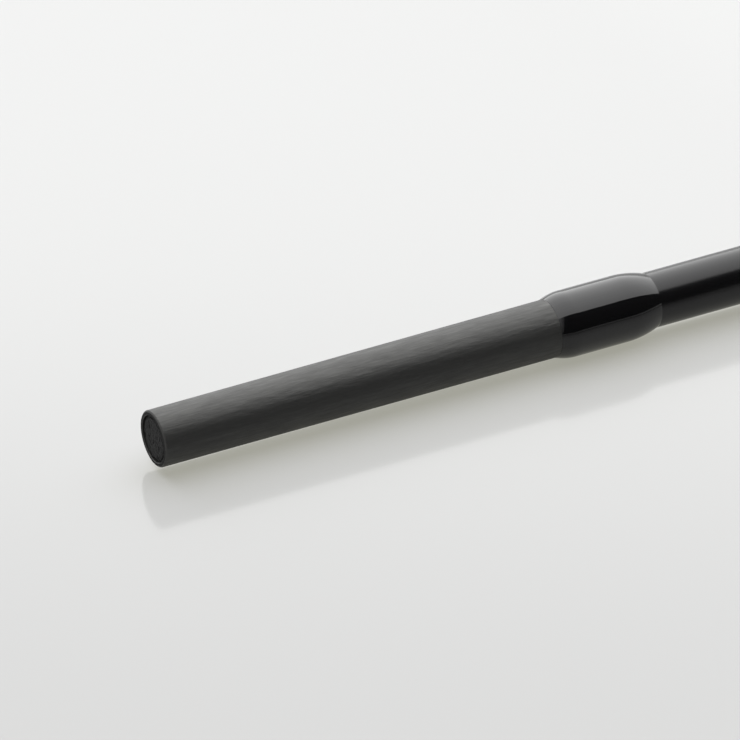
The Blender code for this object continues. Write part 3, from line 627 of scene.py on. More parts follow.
def whipping(name, body, node, radius_at, peak, front, rear, breaks=()):
    """A whipping that goes all the way round a bare blank, between the ends of its CAD node."""
    x0, x1 = (corner.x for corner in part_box(node))
    inner = [(x, radius_at(x) - WHIP_SUNK) for x in (x0, *breaks, x1)]
    outer = shoulder(x0, x0 + front, radius_at(x0) + WHIP_EDGE, peak)
    outer += list(reversed(shoulder(x1, x1 - rear, radius_at(x1) + WHIP_EDGE, peak)))
    bm = turned(outer + list(reversed(inner)), sides=128)
    return finish_mesh(bm, name, resin, body, "whipping", node)


whipping("ferrule_root_whipping", "butt_section", "ferrule_whipping", butt_radius, WHIP_RADIUS,
         WHIP_FRONT, WHIP_REAR, (laminate_end, blank_top))


# The tip section's blank: a rolled carbon tube whose bore fits over the male. It is one tube from
# the female mouth, with its rounded lip, to the fine end under the tip guide.

HOME_GAP = 0.005
FERRULE_CLEARANCE = 0.00005
FEMALE_WALL = 0.00105
FEMALE_RAMP = 0.030
TIP_BLANK_RADIUS = 0.0079
TIP_BLANK_WALL = 0.0010
TIP_END_RADIUS = 0.00155
TIP_END_WALL = 0.0006
LIP_REACH = 0.004
LIP_FALL = 0.00001
LIP_EASE = 0.00025
TIP_STATIONS = (-1.5, -1.0, -0.5)

tip_end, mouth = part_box("tip_blank")[0].x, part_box("tip_blank")[1].x
overlap = MALE_LENGTH - HOME_GAP
bore_end = mouth - overlap
ramp_end = bore_end - FEMALE_RAMP
mouth_bore = butt_radius(male_end.x + overlap) + FERRULE_CLEARANCE
inner_bore = butt_radius(male_end.x) + FERRULE_CLEARANCE


def tip_radius(x):
    """Outer radius of the tip section's blank at x."""
    if x > bore_end:
        return line(x, mouth, bore_end, mouth_bore, inner_bore) + FEMALE_WALL
    if x > ramp_end:
        return line(x, bore_end, ramp_end, inner_bore + FEMALE_WALL, TIP_BLANK_RADIUS)
    return line(x, ramp_end, tip_end, TIP_BLANK_RADIUS, TIP_END_RADIUS)


lip = [
    (mouth - LIP_REACH, tip_radius(mouth - LIP_REACH)), (mouth, tip_radius(mouth)),
    (mouth, mouth_bore), (mouth - LIP_REACH, mouth_bore - LIP_FALL),
]
profile = rounded(lip, LIP_EASE, 4)
profile += [(bore_end, inner_bore), (ramp_end, TIP_BLANK_RADIUS - TIP_BLANK_WALL)]
profile += [(tip_end, TIP_END_RADIUS - TIP_END_WALL), (tip_end, TIP_END_RADIUS)]
profile += [(x, tip_radius(x)) for x in (*TIP_STATIONS, ramp_end, bore_end)]
finish_mesh(turned(profile, sides=128), "tip_section_tube", lacquered_carbon, "tip_section",
            "carbon", "tip_blank")


# The female whipping: a tight band of thread under resin, wound at the very mouth of the tip
# section's bore, that keeps the mouth from splitting.

FEMALE_COAT = 0.0003
FEMALE_SHOULDER = 0.0020
whipping("female_mouth_whipping", "tip_section", "female_ferrule_whipping", tip_radius,
         tip_radius(mouth) + PLUG_GAP + FEMALE_COAT, FEMALE_SHOULDER, FEMALE_SHOULDER)


# The guides: a black-plated wire frame on two feet, with a band that holds a polished ceramic
# ring. Wires are swept, feet are lofted, rings turned. Each size that grows with the ring is given
# as its least value and its share of the ring's diameter.

BAND_WIDTH = 0.0024
BAND_THICKNESS = 0.0011
FOOT_THICKNESS = 0.0012
FOOT_TIP_THICKNESS = 0.0005
FOOT_TIP_WIDTH = 0.6
FOOT_LIFT = 0.0003
FOOT_SUNK = 0.0002
FOOT_STEPS = 24
FOOT_SIDES = 28
FOOT_POWER = 3.2
FOOT_BLUNT = (0.04, 0.08, 0.10)
BAND_EDGE = 0.0003
RING_PROUD = 0.0004
RING_CORNER = (0.00025, 0.0003)
RING_BULGE = 0.62
RING_STEPS = 12
WIRE_SIZE = (0.0006, 0.016)
RING_WALL = (0.0011, 0.035)
FOOT_LENGTH = (0.0055, 0.36)
FOOT_WIDTH = (0.0016, 0.06)

# The legs run out along the rod by a share of the ring's height. Their knees are shares of that
# run, of the ring's radius and of its height. Landings and rests are in radii of the wire.
LEG_SIDES = 20
LEG_LEAN = math.radians(35)
LEG_SWELL = (0.55, 0.15)
REAR_RUN = 0.60
FRONT_RUN = 0.30
REAR_KNEE = (0.35, 0.45, 1.05)
FRONT_KNEE = (0.25, 0.15)
LANDING_WIRES = (1.2, 0.7)
RESTING_WIRES = (4.5, 0.5, 0.3)
TAIL_TAPER = 0.11
TAIL_PULL = 2.5

ring_low, ring_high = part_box("guide_50_ring")
outward = (ring_low + ring_high) / 2 - male_end
outward.x = 0
outward.normalize()
across = Vector((1, 0, 0)).cross(outward)
axis = Vector((0, male_end.y, male_end.z))


def grown(rule, size):
    """A guide's measure: its least value and its share of the ring's diameter."""
    return rule[0] + rule[1] * size


def at(x, sideways, out):
    """A point given by x, its distance sideways and its distance out from the rod's axis."""
    return axis + Vector((x, 0, 0)) + across * sideways + outward * out


def bend(start, middle, end, steps=14):
    """Points on the curve that leaves start towards middle and arrives at end."""
    shares = evenly(0, 1, steps)
    return [start * (1 - t) ** 2 + middle * 2 * t * (1 - t) + end * t * t for t in shares]


def skin(bm, rings, capped=True):
    """Faces between rings of as many points each, closed at the ends if capped."""
    rows = [[bm.verts.new(point) for point in ring] for ring in rings]
    for near, far in zip(rows, rows[1:]):
        for i in range(len(near)):
            j = (i + 1) % len(near)
            bm.faces.new((near[i], near[j], far[j], far[i]))
    if capped:
        bm.faces.new(list(reversed(rows[0])))
        bm.faces.new(rows[-1])
    return rows


def sweep(bm, path, radii):
    """A round wire along a path, with a radius for each point."""
    normal = (path[1] - path[0]).orthogonal().normalized()
    rings = []
    for i, point in enumerate(path):
        ahead = path[min(i + 1, len(path) - 1)] - path[max(i - 1, 0)]
        ahead.normalize()
        normal = (normal - ahead * normal.dot(ahead)).normalized()
        side = ahead.cross(normal)
        rings.append([
            point + (normal * math.cos(turn) + side * math.sin(turn)) * radii[i]
            for turn in all_round(LEG_SIDES)
        ])
    skin(bm, rings)


def strut(bm, wire, path, rest, steps, pull, swell, taper):
    """A wire that swells along a path, then thins out in a tail to where it rests."""
    tail = bend(path[-1], path[-1] + (path[-1] - path[-2]) * pull, rest, steps)[1:]
    radii = [wire * min(1, swell[0] + swell[1] * i) for i in range(len(path))]
    radii += [wire * (1 - taper * i) for i in range(1, len(tail) + 1)]
    sweep(bm, path + tail, radii)


def tongue(bm, x0, x1, steps, sides, power, blunt, section):
    """A bar along the rod with rounded corners and blunt ends.

    Blunt holds the square of the width left at the very ends, and the share of the length that
    each end takes. From x, the share of the length passed and the narrowing there, section gives
    half the bar's width and how far from the rod's axis its underside and its top lie.
    """
    rings = []
    for t in evenly(0, 1, steps):
        x = x0 + (x1 - x0) * t
        ends = math.sqrt(min(1, blunt[0] + t / blunt[1]))
        ends *= math.sqrt(min(1, blunt[0] + (1 - t) / blunt[2]))
        half, low, high = section(x, t, ends)
        ring = []
        for turn in all_round(sides):
            c, s = math.cos(turn), math.sin(turn)
            sideways = half * math.copysign(abs(c) ** (2 / power), c)
            up_by = (high - low) / 2 * math.copysign(abs(s) ** (2 / power), s)
            ring.append(at(x, sideways, (low + high) / 2 + up_by))
        rings.append(ring)
    skin(bm, rings)


def foot(bm, root, tip, width, radius_at):
    """A guide's foot: a flat tongue on the blank that narrows and thins towards its tip."""
    def section(x, t, ends):
        half = width / 2 * line(t, 0, 1, 1, FOOT_TIP_WIDTH) * ends
        thick = line(t, 0, 1, FOOT_THICKNESS, FOOT_TIP_THICKNESS) * (0.5 + 0.5 * ends)
        return half, radius_at(x) - FOOT_SUNK, radius_at(x) + FOOT_LIFT + thick

    tongue(bm, root, tip, FOOT_STEPS, FOOT_SIDES, FOOT_POWER, FOOT_BLUNT, section)


def joined(target, source):
    """Adds one bmesh to another."""
    passing = bpy.data.meshes.new("passing")
    source.to_mesh(passing)
    source.free()
    target.from_mesh(passing)
    bpy.data.meshes.remove(passing)


def band_ring(x, inside, middle, sides):
    """The metal band round a ceramic ring."""
    low, high = x - BAND_WIDTH / 2, x + BAND_WIDTH / 2
    outside = inside + BAND_THICKNESS
    band = [(low, inside), (low, outside), (high, outside), (high, inside), (low, inside)]
    return turned(rounded(band, BAND_EDGE, 3)[1:], sides, (middle.y, middle.z))


def ceramic_ring(name, node, body, sides):
    """A guide's ceramic ring, with a fat rounded inner lip and a flat seat for the band."""
    low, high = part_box(node)
    x = (low.x + high.x) / 2
    outer = (high.z - low.z) / 2
    wall = grown(RING_WALL, high.z - low.z)
    half = BAND_WIDTH / 2 + RING_PROUD
    bulge = wall * RING_BULGE
    drop, cut = RING_CORNER
    points = [(x - half, outer - drop), (x - half + cut, outer), (x + half - cut, outer)]
    points.append((x + half, outer - drop))
    for turn in evenly(0, math.pi, RING_STEPS):
        reach = outer - wall + bulge - bulge * math.sin(turn)
        points.append((x + half * math.cos(turn), reach))
    ring_mesh = turned(points, sides, ((low.y + high.y) / 2, (low.z + high.z) / 2))
    finish_mesh(ring_mesh, name, ceramic, body, "ring_ceramic", node)


# Steel wire, welded and plated black: a dark mirror with a faint haze in it.
HAZE_SIZE = 0.001111

plated, tree = new_material("black_plated_steel")
place = add(tree, "ShaderNodeTexCoord").outputs["Object"]
haze = add(tree, "ShaderNodeTexNoise", {"Vector": place, "Scale": 1 / HAZE_SIZE, "Detail": 3.0})
shine = add(tree, "ShaderNodeMapRange", {
    "Value": haze.outputs["Fac"], "To Min": 0.16, "To Max": 0.26,
})
shader = add(tree, "ShaderNodeBsdfPrincipled", {
    "Base Color": linear("#3A3B3E"), "Metallic": 1.0, "Roughness": shine.outputs["Result"],
})
add(tree, "ShaderNodeOutputMaterial", {"Surface": shader.outputs[0]})

# Sintered ceramic, polished for the line: near black, with bright hard highlights.
ceramic, tree = new_material("polished_ceramic")
shader = add(tree, "ShaderNodeBsdfPrincipled", {
    "Base Color": linear("#26272B"), "Roughness": 0.06, "IOR": 1.9,
})
add(tree, "ShaderNodeOutputMaterial", {"Surface": shader.outputs[0]})

WHIP_STEPS = 144
WHIP_STATIONS = 40
SOFTENING = 4
COAT = 0.0005
OVERRUN = 0.0040
HEEL_RISE = 0.0018
END_RISE = 0.0026
HEEL_WIRES = 2.5
CLIMB = (0.25, 1.1)
BORE_SUNK = 0.0001
WELD = 1e-7


def ring_at(x, reaches):
    """Points all round the rod's axis at x, each with its own distance from it."""
    turns = all_round(len(reaches))
    return [at(x, math.sin(t) * reach, math.cos(t) * reach) for t, reach in zip(turns, reaches)]


def hollow(rings):
    """A tube closed on itself, through rings that run along its outside and back inside."""
    bm = bmesh.new()
    skin(bm, rings + rings[:1], capped=False)
    bmesh.ops.remove_doubles(bm, verts=bm.verts[:], dist=WELD)
    return bm


def foot_whipping(name, body, root, tip, wire, width, radius_at):
    """Thread and resin over a foot: round on the blank, drawn tight over the foot's corners."""
    away = 1 if tip > root else -1
    start = tip + away * OVERRUN
    heel = root + away * wire * HEEL_WIRES
    outer_rings, inner_rings = [], []
    for x in evenly(start, heel, WHIP_STATIONS):
        base = radius_at(x) + FOOT_LIFT
        share = min(1, max(0, (x - tip) / (root - tip)))
        half = width / 2 * line(share, 0, 1, FOOT_TIP_WIDTH, 1)
        over = line(share, 0, 1, FOOT_TIP_THICKNESS, FOOT_THICKNESS)
        over *= ease(abs(x - start), OVERRUN * CLIMB[0], OVERRUN * CLIMB[1])
        left = max(0, 1 - abs(x - start) / END_RISE, 1 - abs(x - heel) / HEEL_RISE)
        coat = WHIP_EDGE + (COAT - WHIP_EDGE) * (1 - left ** 2)
        top = base + over
        corner = math.atan2(half, top)
        tangent = corner + math.acos(min(1, base / math.hypot(half, top)))
        radii = []
        for turn in all_round(WHIP_STEPS):
            off = abs((turn + math.pi) % (2 * math.pi) - math.pi)
            if off <= corner:
                radii.append(top / math.cos(off))
            elif off < tangent:
                radii.append(base / math.cos(tangent - off))
            else:
                radii.append(base)
        soft = []
        for j in range(WHIP_STEPS):
            near = [radii[(j + k) % WHIP_STEPS] for k in range(-SOFTENING, SOFTENING + 1)]
            soft.append(sum(near) / len(near))
        lift = coat - (FOOT_LIFT - PLUG_GAP) * left ** 2
        outer_rings.append(ring_at(x, [radius + lift for radius in soft]))
        inner_rings.append(ring_at(x, [radius_at(x) - BORE_SUNK] * WHIP_STEPS))
    bm = hollow(outer_rings + list(reversed(inner_rings)))
    finish_mesh(bm, name.replace("guide", "thread_of_guide"), resin, body, "whipping", name)


def guide(label, body, radius_at):
    """One guide on its two feet, with its ceramic ring and its two whippings."""
    low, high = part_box(label + "_ring")
    x = (low.x + high.x) / 2
    size = high.z - low.z
    middle = (low + high) / 2
    centre = (middle - at(x, 0, 0)).length
    height = centre - radius_at(x)
    wire = grown(WIRE_SIZE, size)
    length = grown(FOOT_LENGTH, size)
    width = grown(FOOT_WIDTH, size)
    inside = size / 2 + PLUG_GAP
    frame_mesh = band_ring(x, inside, middle, 128)
    leg = inside + BAND_THICKNESS / 2
    for end, away, run in (("rear", 1, REAR_RUN * height), ("front", -1, FRONT_RUN * height)):
        root = x + away * run
        tip = root + away * length
        foot(frame_mesh, root, tip, width, radius_at)
        joint = root + away * wire * LANDING_WIRES[0]
        fair = root + away * wire * RESTING_WIRES[0]
        foot_top = radius_at(root) + FOOT_LIFT
        for side in (0,) if end == "front" else (-1, 1):
            if side:
                begin = at(x, side * leg * math.cos(LEG_LEAN), centre - leg * math.sin(LEG_LEAN))
                along, sideways, down = REAR_KNEE
                knee = at(x + run * along, side * leg * sideways, centre - leg * down)
            else:
                begin = at(x, 0, centre - leg)
                along, raised = FRONT_KNEE
                knee = at(x - run * along, 0, radius_at(x) + height * raised)
            land = at(joint, side * wire * LANDING_WIRES[1], foot_top + wire)
            rest = at(fair, side * wire * RESTING_WIRES[1], foot_top + wire * RESTING_WIRES[2])
            path = bend(begin, knee, land)
            strut(frame_mesh, wire, path, rest, 6, TAIL_PULL, LEG_SWELL, TAIL_TAPER)
        foot_whipping(f"{label}_{end}_whipping", body, root, tip, wire, width, radius_at)
    finish_mesh(frame_mesh, label.replace("guide", "wire_frame"), plated, body, "guide_metal",
                label + "_frame")
    ceramic_ring(label.replace("guide", "ceramic_ring"), label + "_ring", body, 160)


guide("guide_50", "butt_section", butt_radius)
for number in (40, 30, 25, 20, 16):
    guide(f"guide_{number}", "tip_section", tip_radius)


# The tip guide: a tube bonded over the blank's end, a ring on its end and two braces, with a
# short whipping behind the tube.

SOCKET_LENGTH = 0.014
SOCKET_WALL = 0.0005
SOCKET_FLOOR = 0.0012
SOCKET_EDGE = 0.0003
TIP_WIRE = 0.00077
BRACE_SWELL = (0.7, 0.1)
BRACE_KNEE = (0.55, 0.8, 0.45)
BRACE_TAPER = 0.15
BRACE_LEAN = math.radians(10)
BRACE_BACK = 0.004
BRACE_TAIL = 0.002
BRACE_SEAT = 0.7
TAIL_SEAT = 0.8
TIP_SHOULDERS = (0.0012, 0.0030)

low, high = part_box("tip_top_ring")
ring_x = (low.x + high.x) / 2
middle = (low + high) / 2
size = high.z - low.z
centre = (middle - at(ring_x, 0, 0)).length
socket = tip_end - FOOT_LIFT
tube_mouth = socket + SOCKET_LENGTH
closed = socket - SOCKET_FLOOR
bore = tip_radius(tip_end) + FOOT_LIFT
taper = tip_radius(tube_mouth) + FOOT_LIFT
tube = [
    (closed, 0), (closed, bore + SOCKET_WALL), (tube_mouth, taper + SOCKET_WALL),
    (tube_mouth, taper), (socket, bore), (socket, 0),
]
bm = turned(rounded(tube, SOCKET_EDGE, 4), sides=64)
inside = size / 2 + PLUG_GAP
joined(bm, band_ring(ring_x, inside, middle, 96))
leg = inside + BAND_THICKNESS / 2
back_x = tube_mouth - BRACE_BACK
seat_out = (taper + SOCKET_WALL / 2) * BRACE_SEAT
along, sideways, out = BRACE_KNEE
for side in (-1, 1):
    begin = at(ring_x, side * leg * math.cos(BRACE_LEAN), centre - leg * math.sin(BRACE_LEAN))
    knee = at(ring_x + (back_x - ring_x) * along, side * leg * sideways, centre * out)
    land = at(back_x, side * seat_out, seat_out)
    rest = at(back_x + BRACE_TAIL, side * seat_out * TAIL_SEAT, seat_out * TAIL_SEAT)
    strut(bm, TIP_WIRE, bend(begin, knee, land), rest, 4, 1, BRACE_SWELL, BRACE_TAPER)
finish_mesh(bm, "tip_frame", plated, "tip_section", "guide_metal", "tip_top_frame")
ceramic_ring("tip_ring", "tip_top_ring", "tip_section", 96)
whip_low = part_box("tip_top_whipping")[0].x
whipping("tip_whipping", "tip_section", "tip_top_whipping", tip_radius,
         tip_radius(whip_low) + PLUG_GAP + COAT, *TIP_SHOULDERS)


# The grips are closed-cell foam, turned and sanded: matt black with fine open pores. The fore
# grip tapers; the rear grip has a waist and a swell before the butt cap.

# Closed-cell foam, sanded open: soft black that never shines, pricked all over by cut cells. Real
# cells are half this size, and would not show.
CELL_SIZE = 0.0005263
PATCH_SIZE = 0.003846

foam, tree = new_material("closed_cell_foam")
place = add(tree, "ShaderNodeTexCoord").outputs["Object"]
cells = add(tree, "ShaderNodeTexVoronoi", {"Vector": place, "Scale": 1 / CELL_SIZE})
patches = add(tree, "ShaderNodeTexNoise", {
    "Vector": place, "Scale": 1 / PATCH_SIZE, "Detail": 2.0,
})
depth = add(tree, "ShaderNodeMath", {
    0: cells.outputs["Distance"], 1: patches.outputs["Fac"],
}, operation="MULTIPLY")
shade = add(tree, "ShaderNodeValToRGB", {"Fac": depth.outputs[0]})
shade.color_ramp.elements[0].position = 0.05
shade.color_ramp.elements[0].color = linear("#18181A")
shade.color_ramp.elements[1].position = 0.45
shade.color_ramp.elements[1].color = linear("#2B2B2D")
relief = add(tree, "ShaderNodeBump", {
    "Height": depth.outputs[0], "Strength": 0.5, "Distance": 0.0002,
})
shader = add(tree, "ShaderNodeBsdfPrincipled", {
    "Base Color": shade.outputs["Color"], "Roughness": 0.82, "Normal": relief.outputs["Normal"],
})
add(tree, "ShaderNodeOutputMaterial", {"Surface": shader.outputs[0]})


def sleeve(name, node, outer, look, slot, edge):
    """A turned piece that fits on the butt blank. Outer is its profile from front to rear."""
    front, rear = outer[0][0], outer[-1][0]
    inner = [(rear, butt_radius(rear) + PLUG_GAP), (front, butt_radius(front) + PLUG_GAP)]
    loop = rounded_loop(outer + inner, edge, 5)
    return finish_mesh(turned(loop, sides=128), name, look, "butt_section", slot, node)


FOAM_EDGE = 0.0016
FORE_RADIUS = 0.0106
FORE_SWELL = 0.0024
FORE_LEAD = 0.02
FORE_STEPS = 24
REAR_RADIUS = 0.0128
REAR_WAIST = 0.0003
REAR_SWELL = 0.0017
WAIST_AT = 0.0675
SWELL_FROM_END = 0.0225
REAR_STEPS = 60

low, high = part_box("fore_grip")
profile = []
for x in evenly(low.x, high.x, FORE_STEPS):
    profile.append((x, FORE_RADIUS + FORE_SWELL * ease(x, low.x - FORE_LEAD, high.x)))
sleeve("fore_grip_foam", "fore_grip", profile, foam, "grip_foam", FOAM_EDGE)

low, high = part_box("rear_grip")
profile = []
for x in evenly(low.x, high.x, REAR_STEPS):
    radius = REAR_RADIUS - REAR_WAIST * ease(x, low.x, low.x + WAIST_AT)
    radius += REAR_SWELL * ease(x, low.x + WAIST_AT, high.x - SWELL_FROM_END)
    profile.append((x, radius))
sleeve("rear_grip_foam", "rear_grip", profile, foam, "grip_foam", FOAM_EDGE)


# Three trim rings cover the ends of the grips and of the seat: tapered rings turned from
# aluminium, anodised dark and glued on.

# Aluminium, turned and anodised dark: satin grey-black, with the fine rings that the tool left.
TOOL_MARK = (0.0001111, 0.003333, 0.003333)

anodised, tree = new_material("anodised_aluminium")
place = add(tree, "ShaderNodeTexCoord").outputs["Object"]
turning = add(tree, "ShaderNodeMapping", {
    "Vector": place, "Scale": [1 / size for size in TOOL_MARK],
})
marks = add(tree, "ShaderNodeTexNoise", {"Vector": turning.outputs[0], "Scale": 1.0, "Detail": 2.0})
shine = add(tree, "ShaderNodeMapRange", {
    "Value": marks.outputs["Fac"], "To Min": 0.22, "To Max": 0.36,
})
shader = add(tree, "ShaderNodeBsdfPrincipled", {
    "Base Color": linear("#4A4B4F"), "Metallic": 1.0, "Roughness": shine.outputs["Result"],
})
add(tree, "ShaderNodeOutputMaterial", {"Surface": shader.outputs[0]})

TRIM_LIP = 0.0008
TRIM_STEPS = 8
TRIM_EDGE = 0.0003
for node in ("fore_grip_check", "seat_rear_check", "rear_grip_check"):
    low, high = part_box(node)
    thin = butt_radius(low.x) + PLUG_GAP + TRIM_LIP
    wide = high.z - male_end.z
    ends = (wide, thin) if node == "seat_rear_check" else (thin, wide)
    stations = evenly(low.x, high.x, TRIM_STEPS)
    profile = [(x, line(x, low.x, high.x, *ends)) for x in stations]
    sleeve(node.replace("check", "trim"), node, profile, anodised, "dark_metal", TRIM_EDGE)


# The reel seat's barrel is moulded plastic: smooth, with a raised flat deck for the reel's foot
# and, at its front, a right-hand thread. The thread is a spiral swept by geometry nodes.

SEAT_WALL = 0.002
THREAD_PITCH = 0.003
THREAD_DEPTH = 0.0006
THREAD_START = 0.002
THREAD_TURNS = 14
CREST = 0.00075
HOOD_LENGTH = 0.022
HOOD_WALL = 0.0015
POCKET_DEPTH = 0.015
POCKET_CORNER = 0.0003
DECK_WIDTH = 0.014
DECK_RISE = 0.001
DECK_CLEARANCE = 0.0009
DECK_DEPTH = 0.0022
DECK_SINK = 0.0016
DECK_POWER = 7
DECK_STEPS = 32
DECK_SIDES = 48
DECK_BLUNT = (0.02, 0.05, 0.02)
DECK_MARGIN = (0.0027, 0.0003)
HOOD_TRAVEL = 0.024
POCKET_HEIGHT = 0.006
SEAT_EDGE = 0.0003

# Filled nylon, moulded in a tool with a spark-eroded face: a low sheen over a fine even grain.
SPARK_SIZE = 0.0001923

moulded, tree = new_material("moulded_plastic")
place = add(tree, "ShaderNodeTexCoord").outputs["Object"]
sparks = add(tree, "ShaderNodeTexNoise", {"Vector": place, "Scale": 1 / SPARK_SIZE, "Detail": 1.0})
relief = add(tree, "ShaderNodeBump", {
    "Height": sparks.outputs["Fac"], "Strength": 0.10, "Distance": 0.0001,
})
shader = add(tree, "ShaderNodeBsdfPrincipled", {
    "Base Color": linear("#17181A"), "Roughness": 0.34, "IOR": 1.5,
    "Normal": relief.outputs["Normal"],
})
add(tree, "ShaderNodeOutputMaterial", {"Surface": shader.outputs[0]})

seat_front, seat_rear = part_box("reel_seat")[0].x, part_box("reel_seat")[1].x
seat_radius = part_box("seat_rear_check")[1].z - male_end.z
seat_bore = seat_radius - SEAT_WALL
thread_end = seat_front + THREAD_START + THREAD_TURNS * THREAD_PITCH
barrel = [
    (seat_front, seat_bore), (seat_front, seat_radius - THREAD_DEPTH),
    (thread_end, seat_radius - THREAD_DEPTH), (thread_end + THREAD_DEPTH, seat_radius),
    (seat_rear, seat_radius), (seat_rear, seat_bore),
]
bm = turned(rounded_loop(barrel, SEAT_EDGE, 3), sides=144)
deck_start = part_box("moving_hood")[1].x + HOOD_TRAVEL - POCKET_DEPTH + DECK_MARGIN[0]
deck_end = seat_rear - HOOD_LENGTH - DECK_MARGIN[1]


def deck_section(x, t, ends):
    """The deck in section, which sinks into the barrel at its ends."""
    high_out = seat_radius - DECK_SINK + (DECK_RISE + DECK_SINK) * ends
    return DECK_WIDTH / 2, high_out - 2 * DECK_DEPTH, high_out


tongue(bm, deck_start, deck_end, DECK_STEPS, DECK_SIDES, DECK_POWER, DECK_BLUNT, deck_section)
finish_mesh(bm, "seat_barrel", moulded, "butt_section", "seat_plastic", "reel_seat")


def new_tree(name, **kinds):
    """A geometry nodes tree with named inputs, and the sockets that give their values."""
    made = bpy.data.node_groups.new(name, "GeometryNodeTree")
    made.interface.new_socket("Geometry", in_out="OUTPUT", socket_type="NodeSocketGeometry")
    for label, kind in kinds.items():
        made.interface.new_socket(label, in_out="INPUT", socket_type="NodeSocket" + kind)
    return made, add(made, "NodeGroupInput").outputs


def laid(tree, geometry, x, material):
    """Ends a tree: lays its geometry along the rod at x and gives it a material."""
    lying = add(tree, "GeometryNodeTransform", {
        "Geometry": geometry, "Rotation": (0, math.pi / 2, 0),
        "Translation": (x, male_end.y, male_end.z),
    })
    real = add(tree, "GeometryNodeRealizeInstances", {"Geometry": lying.outputs[0]})
    painted = add(tree, "GeometryNodeSetMaterial", {
        "Geometry": real.outputs[0], "Material": material,
    })
    add(tree, "NodeGroupOutput", {"Geometry": painted.outputs[0]})


def from_nodes(name, group, values, body):
    """A plain mesh from a geometry nodes tree, with the values of its named inputs."""
    carrier = bpy.data.objects.new(name, bpy.data.meshes.new(name))
    bpy.context.scene.collection.objects.link(carrier)
    modifier = carrier.modifiers.new("nodes", "NODES")
    modifier.node_group = group
    for item in group.interface.items_tree:
        if item.in_out == "INPUT" and item.name in values:
            modifier[item.identifier] = values[item.name]
    depsgraph = bpy.context.evaluated_depsgraph_get()
    mesh = bpy.data.meshes.new_from_object(carrier.evaluated_get(depsgraph))
    carrier.modifiers.clear()
    carrier.data = mesh
    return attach(carrier, body)


thread, given = new_tree("thread", Turns="Float", Length="Float", Radius="Float", Crest="Float")
spiral = add(thread, "GeometryNodeCurveSpiral", {
    "Resolution": 72, "Rotations": given["Turns"], "Start Radius": given["Radius"],
    "End Radius": given["Radius"], "Height": given["Length"], "Reverse": True,
})
section = add(thread, "GeometryNodeCurvePrimitiveCircle", {
    "Resolution": 14, "Radius": given["Crest"],
})
ridge = add(thread, "GeometryNodeCurveToMesh", {
    "Curve": spiral.outputs[0], "Profile Curve": section.outputs[0], "Fill Caps": True,
})
shaded = add(thread, "GeometryNodeSetShadeSmooth", {"Geometry": ridge.outputs[0]})
laid(thread, shaded.outputs[0], seat_front + THREAD_START, moulded)
from_nodes("seat_thread", thread, {
    "Turns": float(THREAD_TURNS), "Length": THREAD_TURNS * THREAD_PITCH,
    "Radius": seat_radius - CREST, "Crest": CREST,
}, "butt_section")


# Two arbors centre the seat on the blank: rings of rigid foam, turned to size and glued in
# between the two, out of sight.

# Rigid foam, cut open: pale brown and dull.
arbor_foam, tree = new_material("rigid_foam")
shader = add(tree, "ShaderNodeBsdfPrincipled", {
    "Base Color": linear("#8A8474"), "Roughness": 0.9,
})
add(tree, "ShaderNodeOutputMaterial", {"Surface": shader.outputs[0]})

for node in ("seat_arbor_front", "seat_arbor_rear"):
    low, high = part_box(node)
    profile = [(low.x, seat_bore - PLUG_GAP), (high.x, seat_bore - PLUG_GAP)]
    profile += [(high.x, butt_radius(high.x) + PLUG_GAP), (low.x, butt_radius(low.x) + PLUG_GAP)]
    finish_mesh(turned(profile, sides=96), node.replace("seat", "pressed"), arbor_foam,
                "butt_section", "arbor", node)


# The hoods: cowls of anodised aluminium that clamp the two ends of the reel's foot. One is fixed
# at the rear, the other slides. Each is a skin round an arched pocket, drawn in to a collar.

HOOD_STEPS = 144
HOOD_RINGS = 24
POCKET_RINGS = 12
HOOD_EDGE = 0.0005
EDGE_STEPS = 4
SEAT_CLEARANCE = 0.0003
ARCH_POWER = 4
DRAW_FROM = 0.55
DRAW_POWER = 1.3
STEEPEST = 0.2


